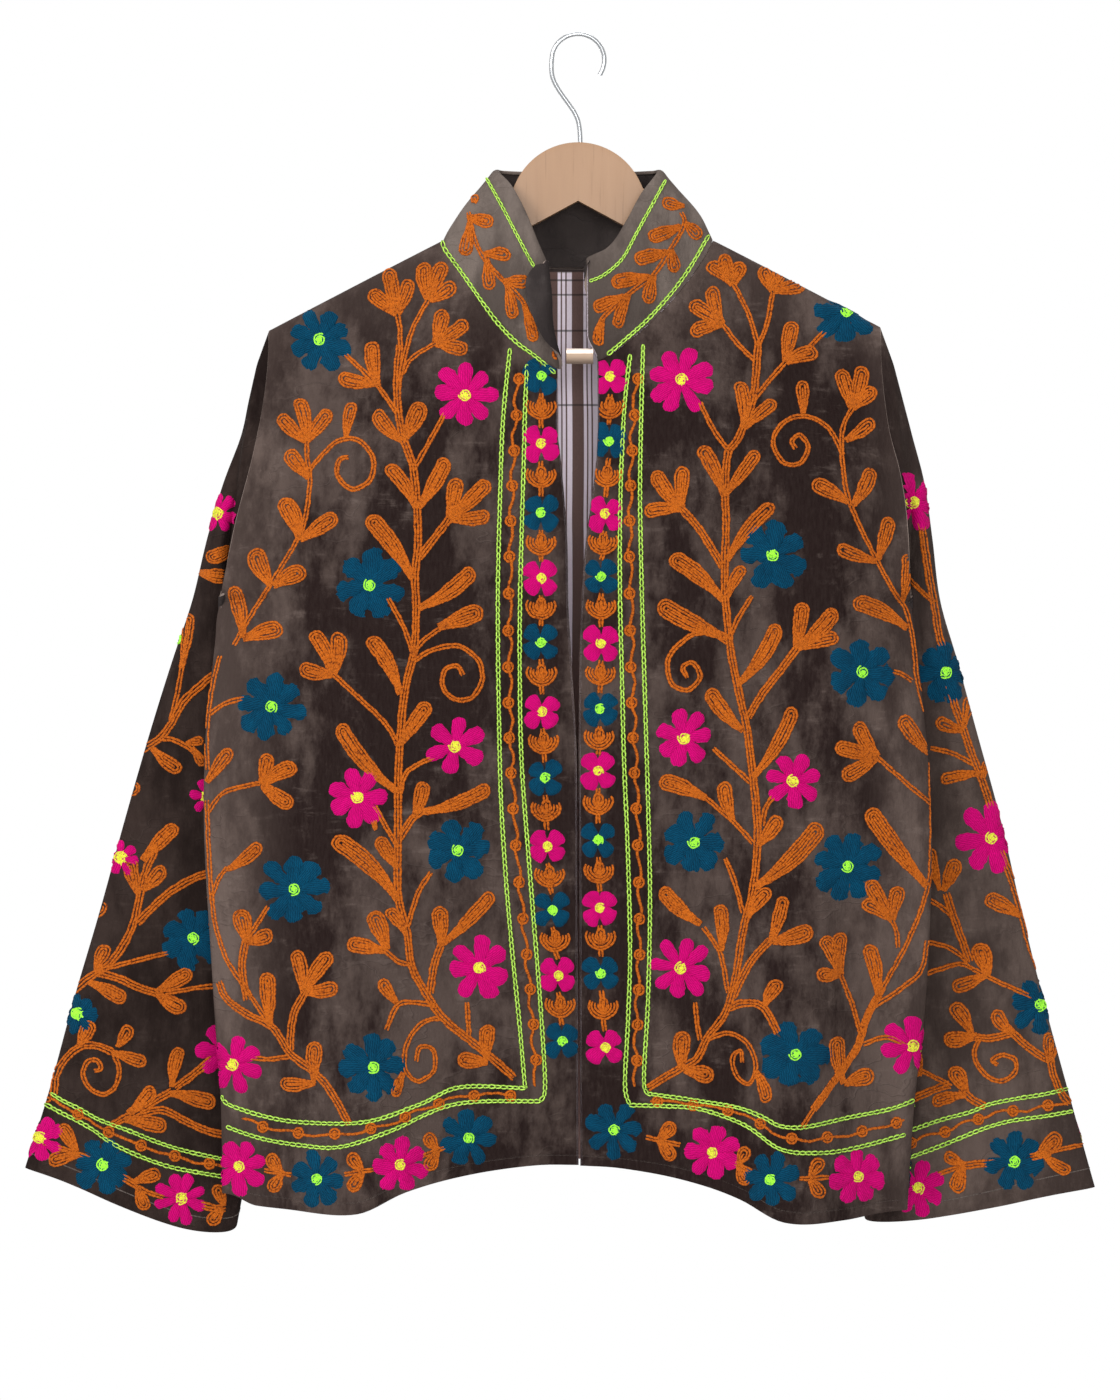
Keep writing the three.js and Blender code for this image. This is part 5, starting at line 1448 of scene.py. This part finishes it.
LEFT_SLEEVE = {
    "stems": (
        (3, ((921, 520), (923, 535), (928, 570), (934, 605), (938, 630), (944, 654))),
        (2, ((903, 572), (920, 590), (935, 603))),
        (3, ((948, 684), (955, 706), (963, 728), (971, 752), (980, 775), (987, 795), (993, 816))),
        (2, ((930, 748), (952, 753), (973, 764))),
        (3, ((1000, 850), (1004, 860), (1014, 887), (1022, 915), (1030, 945), (1042, 978))),
        (3, ((946, 893), (953, 915), (962, 940), (970, 962))), (2, ((930, 900), (944, 909), (953, 918))),
        (2, ((928, 942), (950, 948), (968, 962))),
        (2, ((924, 974), (943, 968), (960, 964), (975, 970), (992, 979), (1012, 988), (1032, 997))),
        (3, ((970, 1036), (990, 1038), (1012, 1033))),
        (2, ((980, 1038), (974, 1052), (978, 1066), (990, 1078), (1003, 1081), (1015, 1072), (1015, 1060),
             (1003, 1055), (992, 1060), (998, 1065))),
        (3, ((1005, 1025), (1020, 1040), (1035, 1052), (1048, 1060))),
        (3, ((1050, 1058), (1054, 1077), (1062, 1094), (1070, 1104))),
        (2, ((920, 1070), (938, 1079), (952, 1087))), (3, ((912, 1099), (933, 1090), (950, 1084))),
        (3, ((960, 1088), (972, 1099), (986, 1107))),
        (3, ((994, 1163), (976, 1164), (962, 1166))), (2, ((962, 1167), (950, 1170), (938, 1174))),
        (3, ((1030, 1157), (1040, 1155), (1050, 1152))), (2, ((1048, 1152), (1066, 1148), (1088, 1144))),
    ),
    "leaves": (
        ((963, 728), (968, 696), 10), ((963, 731), (936, 720), 13), ((981, 773), (940, 780), 11),
        ((983, 778), (988, 760), 9), ((1021, 916), (985, 897), 15), ((943, 891), (957, 859), 14),
        ((940, 890), (930, 848), 11), ((988, 976), (977, 943), 17), ((986, 975), (952, 988), 13),
        ((972, 1034), (952, 1003), 14), ((977, 1035), (943, 1039), 14), ((1013, 1034), (994, 1010), 13),
        ((1049, 1063), (1050, 1032), 15), ((920, 1076), (915, 1050), 13), ((966, 1092), (951, 1067), 15),
        ((966, 1095), (932, 1103), 12), ((964, 1164), (944, 1154), 12), ((964, 1166), (956, 1193), 14),
        ((1036, 1156), (1060, 1134), 17), ((1044, 1155), (1071, 1172), 12), ((912, 742), (917, 715), 10),
    ),
    "flowers": (
        ("pink", 913, 502, 34, 6), ("teal", 945, 672, 31, 7), ("pink", 991, 838, 37, 7),
        ("teal", 1039, 1005, 30, 7), ("pink", 918, 1188, 29, 7), ("teal", 1014, 1161, 31, 7),
        ("pink", 1088, 1143, 21, 7),
    ),
    "chains": (
        ((900, 1134), (940, 1120), (970, 1112), (990, 1104), (1020, 1098), (1045, 1094), (1078, 1086)),
        ((900, 1161), (940, 1146), (960, 1138), (985, 1128), (1010, 1121), (1045, 1116), (1084, 1109)),
    ),
    "beads": (((904, 1144), (924, 1137), (955, 1127), (995, 1113), (1035, 1109), (1078, 1099)),),
}
COLLAR = {
    "stems": (
        (2, ((468, 212), (476, 243), (490, 266), (504, 281), (523, 302), (531, 326))),
        (2, ((681, 212), (684, 225), (670, 250), (653, 275), (627, 295), (603, 318), (598, 334))),
    ),
    "leaves": (
        ((468, 217), (494, 223), 13), ((470, 222), (464, 256), 12), ((484, 254), (511, 256), 13),
        ((487, 258), (490, 290), 12), ((504, 281), (530, 282), 13), ((507, 284), (513, 319), 12),
        ((524, 304), (534, 342), 10), ((474, 203), (476, 194), 9), ((552, 332), (557, 360), 9),
        ((684, 222), (701, 238), 13), ((681, 226), (648, 238), 13), ((671, 249), (675, 273), 12),
        ((668, 252), (634, 260), 13), ((654, 274), (648, 304), 12), ((650, 277), (611, 283), 13),
        ((629, 294), (617, 328), 12), ((624, 296), (593, 309), 13), ((603, 319), (598, 346), 10),
        ((684, 206), (662, 201), 12),
    ),
    "fine": (
        ((487, 179), (502, 206), (516, 233), (527, 254), (536, 270)),
        ((665, 181), (649, 210), (636, 234), (622, 259), (604, 275), (590, 281)),
    ),
    "chains": (
        ((443, 236), (444, 248), (458, 267), (477, 294), (496, 321), (516, 342), (535, 356), (556, 374)),
        ((708, 236), (686, 273), (660, 306), (637, 329), (609, 353), (598, 363)),
    ),
}
BACK = {
    "stems": RIGHT_FRONT["stems"] + LEFT_FRONT["stems"] + (
        (3, ((578, 1100), (580, 980), (576, 860), (580, 740), (577, 620), (579, 500), (578, 380))),
    ),
    "leaves": RIGHT_FRONT["leaves"] + LEFT_FRONT["leaves"] + tuple(
        ((578, y), (578 + side * 40, y - 34), 15) for y in range(460, 1080, 124) for side in (-1, 1)
    ),
    "buds": RIGHT_FRONT["buds"] + LEFT_FRONT["buds"] + (((578, 372), (556, 340), (578, 328), (600, 340)),),
    "flowers": RIGHT_FRONT["flowers"] + LEFT_FRONT["flowers"] + (
        ("pink", 578, 520, 33, 8), ("teal", 578, 768, 35, 8), ("pink", 578, 1010, 33, 7),
    ),
    "chains": (
        ((922, 1100), (850, 1108), (790, 1112), (740, 1104), (650, 1098), (578, 1094), (500, 1098),
         (420, 1104), (340, 1112), (270, 1108), (222, 1098)),
        ((922, 1126), (850, 1134), (790, 1138), (740, 1130), (650, 1124), (578, 1120), (500, 1124),
         (420, 1130), (340, 1138), (270, 1134), (222, 1124)),
    ),
    "beads": (((910, 1113), (850, 1121), (790, 1125), (740, 1117), (650, 1111), (578, 1107), (500, 1111),
               (420, 1117), (340, 1125), (270, 1121), (232, 1112)),),
    "hem": tuple((("pink", "teal")[k % 2], 254 + 72 * k, 1163 - 5 * (k in (3, 4, 5, 6))) for k in range(10)),
}


PETAL_WIDTH = {6: 0.56, 7: 0.52, 8: 0.45}  # share of the radius, by the number of petals
FULLNESS = {"pink": 1, "teal": 1.12}
RAGGED = {"pink": 0.12, "teal": 0.26}
BEAD_RINGS = (2.3, 5.0)
CUP_WIDTHS = (14.5, 11.4, 8.3, 5.2)


def embroider(label, layout, ground, seed):
    """Works one layout onto the cloth and gives its pieces."""
    chance = random.Random(seed)
    orange = Yarn("orange_vines_" + label, LEAF, ground, seed)
    petals = {"pink": Yarn("pink_petals_" + label, PINK, ground, seed + 1),
              "teal": Yarn("teal_petals_" + label, TEAL, ground, seed + 2)}
    hearts = {"pink": Yarn("yellow_hearts_" + label, YELLOW, ground, seed + 3),
              "teal": Yarn("green_hearts_" + label, GREEN, ground, seed + 4)}
    lime = Yarn("lime_chains_" + label, NEON, ground, seed + 5)
    for rows, points in layout["stems"]:
        orange.stem(points, rows)
    for base, tip, width in layout["leaves"]:
        orange.leaf(base, tip, width)
    for base, *tips in layout.get("buds", ()):
        orange.bud(base, *tips)
    for colour, x, y, radius, count in layout.get("flowers", ()):
        turned = chance.uniform(0, 6)
        width = radius * (PETAL_WIDTH[count] * FULLNESS[colour])
        for k in range(count):
            angle = turned + 2 * math.pi * (k + chance.uniform(-0.1, 0.1)) / count
            petals[colour].petal((x, y), angle, 2, radius, width, ragged=RAGGED[colour])
        hearts[colour].heart((x, y), 7.9)
    for points in layout["chains"]:
        lime.chain(points)
    for points in layout.get("fine", ()):
        lime.chain(points, 3.7, 5.2, 0.52)
    for points in layout.get("beads", ()):  # a wavy line with a ring at every twelfth place
        path = curve_through(points, 3)
        wavy = []
        for k, (x, y) in enumerate(path):
            wavy.append((x + 1.9 * math.sin(k * 0.5), y + 1.2 * math.cos(k * 0.45)))
        orange.row(wavy[::2], 2.6)
        for k in range(2, len(path) - 2, 12):
            x, y = wavy[k]
            for radius in BEAD_RINGS:
                angles = [i * 2 * math.pi / 7 for i in range(8)]
                ring = [(x + radius * math.cos(a), y + radius * math.sin(a)) for a in angles]
                orange.row(ring, 2.2, 1.2, wobble=0.2)
    band = layout.get("band", ())
    for k, (colour, x, y) in enumerate(band):
        for i in range(4):
            angle = math.pi / 4 + i * math.pi / 2 + chance.uniform(-0.12, 0.12)
            petals[colour].petal((x, y), angle, 1, 20.5, 19, 0.42, ragged=0.1)
        hearts[colour].heart((x, y), 6.4)
        if k + 1 < len(band):  # nested cups between two flowers
            nx, ny = band[k + 1][1:]
            mx, my = (x + nx) / 2, (y + ny) / 2
            orange.stem(((x, y + 17), (mx, my - 9)), 2)
            orange.stem(((mx, my + 8), (nx, ny - 16)), 2)
            for wide in CUP_WIDTHS:
                cup = []
                for i in range(10):
                    a = math.pi * (1.16 - 0.145 * i)
                    lift = wide * 0.82 * math.sin(a) - 1.5 * abs(math.cos(a))
                    cup.append((mx + wide * math.cos(a), my - 3 + lift))
                orange.row(cup)
            orange.leaf((mx, my + 3), (mx, my - 13), 9, 0.02, 0.5)
    last = None
    for colour, x, y in layout.get("hem", ()):
        turned = chance.uniform(0, 6)
        for k in range(7):
            angle = turned + 2 * math.pi * k / 7
            petals[colour].petal((x, y), angle, 2, 29, 16, ragged=0.18)
        hearts[colour].heart((x, y), 7.2)
        if last:
            mx, my = (x + last[0]) / 2, (y + last[1]) / 2
            ax, ay = (x - last[0]) / 2, (y - last[1]) / 2
            orange.stem(((mx - ax * 0.35, my - ay * 0.35), (mx, my), (mx + ax * 0.35, my + ay * 0.35)), 2)
            orange.leaf((mx - ax * 0.1, my - ay * 0.1), (mx + ax * 0.22, my - 19), 13)
            orange.leaf((mx - ax * 0.1, my - ay * 0.1), (mx + ax * 0.22, my + 19), 13)
        last = (x, y)
    return [yarn.finish() for yarn in (orange, *petals.values(), *hearts.values(), lime)]


BEHIND = Vector((EYE.x, -EYE.y, EYE.z))
WORK = (  # label, layout, the cloth that it is worked on, and the seed
    ("right_front", RIGHT_FRONT, Ground(EYE, "velvet_front_right"), 11),
    ("left_front", LEFT_FRONT, Ground(EYE, "velvet_front_left"), 23),
    ("collar", COLLAR, Ground(EYE, "velvet_collar", "velvet_front_right", "velvet_front_left"), 31),
    ("right_sleeve", RIGHT_SLEEVE, Ground(EYE, "velvet_sleeve_right"), 43),
    ("left_sleeve", LEFT_SLEEVE, Ground(EYE, "velvet_sleeve_left"), 57),
    ("back", BACK, Ground(BEHIND, "velvet_back"), 61),
    ("right_sleeve_back", RIGHT_SLEEVE, Ground(BEHIND, "velvet_sleeve_right"), 79),
    ("left_sleeve_back", LEFT_SLEEVE, Ground(BEHIND, "velvet_sleeve_left"), 83),
)
for label, layout, ground, seed in WORK:
    embroider(label, layout, ground, seed)


# ---------- seams: stitch lines above the hems, tape round the neck, piping on the front edges ----------
def surface_run(place, steps):
    """Places and normals along a line on a surface; place(t, across) lies on it."""
    run = []
    for k in range(steps + 1):
        t = k / steps
        here = place(t, 0)
        ahead = place(min(1, t + 0.004), 0) - place(max(0, t - 0.004), 0)
        run.append((here, ahead.cross(place(t, 1) - here).normalized()))
    return run


SEAM_SEED = 5
SEAM_PART = 90  # a long run is laid in parts of this many steps


def seam(name, material, runs, width, height):
    """A strip along each run; outward is 1 or -1, by the side that its normals lie on."""
    yarn = Yarn(name, material, Ground(EYE), SEAM_SEED)
    for run, outward in runs:
        for first in range(0, len(run) - 1, SEAM_PART):
            part = run[first:first + SEAM_PART + 1]
            yarn.ribbon([(spot, normal * outward) for spot, normal in part], width, height)
    return yarn.finish()


HEM_STITCH, CUFF_STITCH = 0.9875, 12.80  # the share of a panel's length, and a sleeve's ring
runs = []
for side in SIDES:
    front = lambda t, off, side=side: front_point(side, t * 0.97, HEM_STITCH - 0.004 * off)
    runs.append((surface_run(front, 150), SIDES[side] * -1))
    cuff = lambda t, off, side=side: sleeve_point(side, t, CUFF_STITCH - 0.04 * off)
    runs.append((surface_run(cuff, 220), SIDES[side] * -1))
back = lambda t, off: back_point(mix(-0.97, 0.97, t), HEM_STITCH - 0.004 * off)
runs.append((surface_run(back, 240), 1))
seam("hem_stitching", THREAD, runs, 0.9, 0.45)

neck = lambda t, off: collar_place(mix(1.02, 1.98, t), 0.004 + 0.05 * off)
seam("neck_tape", THREAD, [(surface_run(neck, 120), -1)], 3.0, 0.7)

# The front edges are bound in lilac, and so is the collar's left end.
runs = []
for side in SIDES:
    edge = lambda t, off, side=side: front_point(side, 0.002 + 0.01 * off, mix(0.012, 0.998, t))
    runs.append((surface_run(edge, 200), SIDES[side] * -1))
end = lambda t, off: collar_place(3 - 0.004 - 0.05 * off, mix(0.04, 0.98, t))
runs.append((surface_run(end, 40), -1))
seam("edge_piping", PIPING, runs, 0.95, 0.6)

# ---------- camera, floor and light ----------
scene = bpy.context.scene
camera = in_scene("camera", bpy.data.cameras.new("camera"))
scene.camera = camera
camera.location = EYE * 0.001
camera.rotation_euler = (math.pi / 2, 0, 0)
camera.data.sensor_width = SENSOR
camera.data.lens = SENSOR * -EYE.y / VIEW_HEIGHT
camera.data.clip_end = 50

floor_bm = bmesh.new()
bmesh.ops.create_circle(floor_bm, cap_ends=True, segments=96, radius=1.3)
bmesh.ops.translate(floor_bm, verts=floor_bm.verts, vec=(0, 0, -1.5))
floor_mesh = bpy.data.meshes.new("floor")
floor_bm.to_mesh(floor_mesh)
floor_bm.free()
floor_paint = Paint("pale_floor")
floor_vector, _ = floor_paint.place()
floor_shade = floor_paint.noise(floor_vector, 3, 2, 0.5)
floor_colour = floor_paint.blend(floor_shade, (0.72, 0.72, 0.72), (0.78, 0.78, 0.78))
floor_mesh.materials.append(floor_paint.finish(Base_Color=floor_colour))
floor = in_scene("floor", floor_mesh)

world = bpy.data.worlds.new("studio")
scene.world = world
world.use_nodes = True
world.node_tree.nodes["Background"].inputs["Color"].default_value = (1, 1, 1, 1)
world.node_tree.nodes["Background"].inputs["Strength"].default_value = 1.0
LIT = Vector((0, 0, -0.45))  # the lamps face the jacket's middle
for name, spot, size, power in (
    ("key", (-1.7, -2.2, 1.0), 1.0, 66),
    ("front", (0.2, -2.8, -0.15), 1.0, 40),
    ("top", (0.1, 0.5, 1.4), 1.2, 22),
    ("behind", (0.3, 2.6, 0.6), 1.6, 40),
):
    lamp = bpy.data.lights.new(name, "AREA")
    lamp.size = size
    lamp.energy = power
    light = in_scene(name, lamp)
    light.location = spot
    light.rotation_euler = (LIT - Vector(spot)).to_track_quat("-Z", "Y").to_euler()
scene.view_settings.view_transform = "Standard"
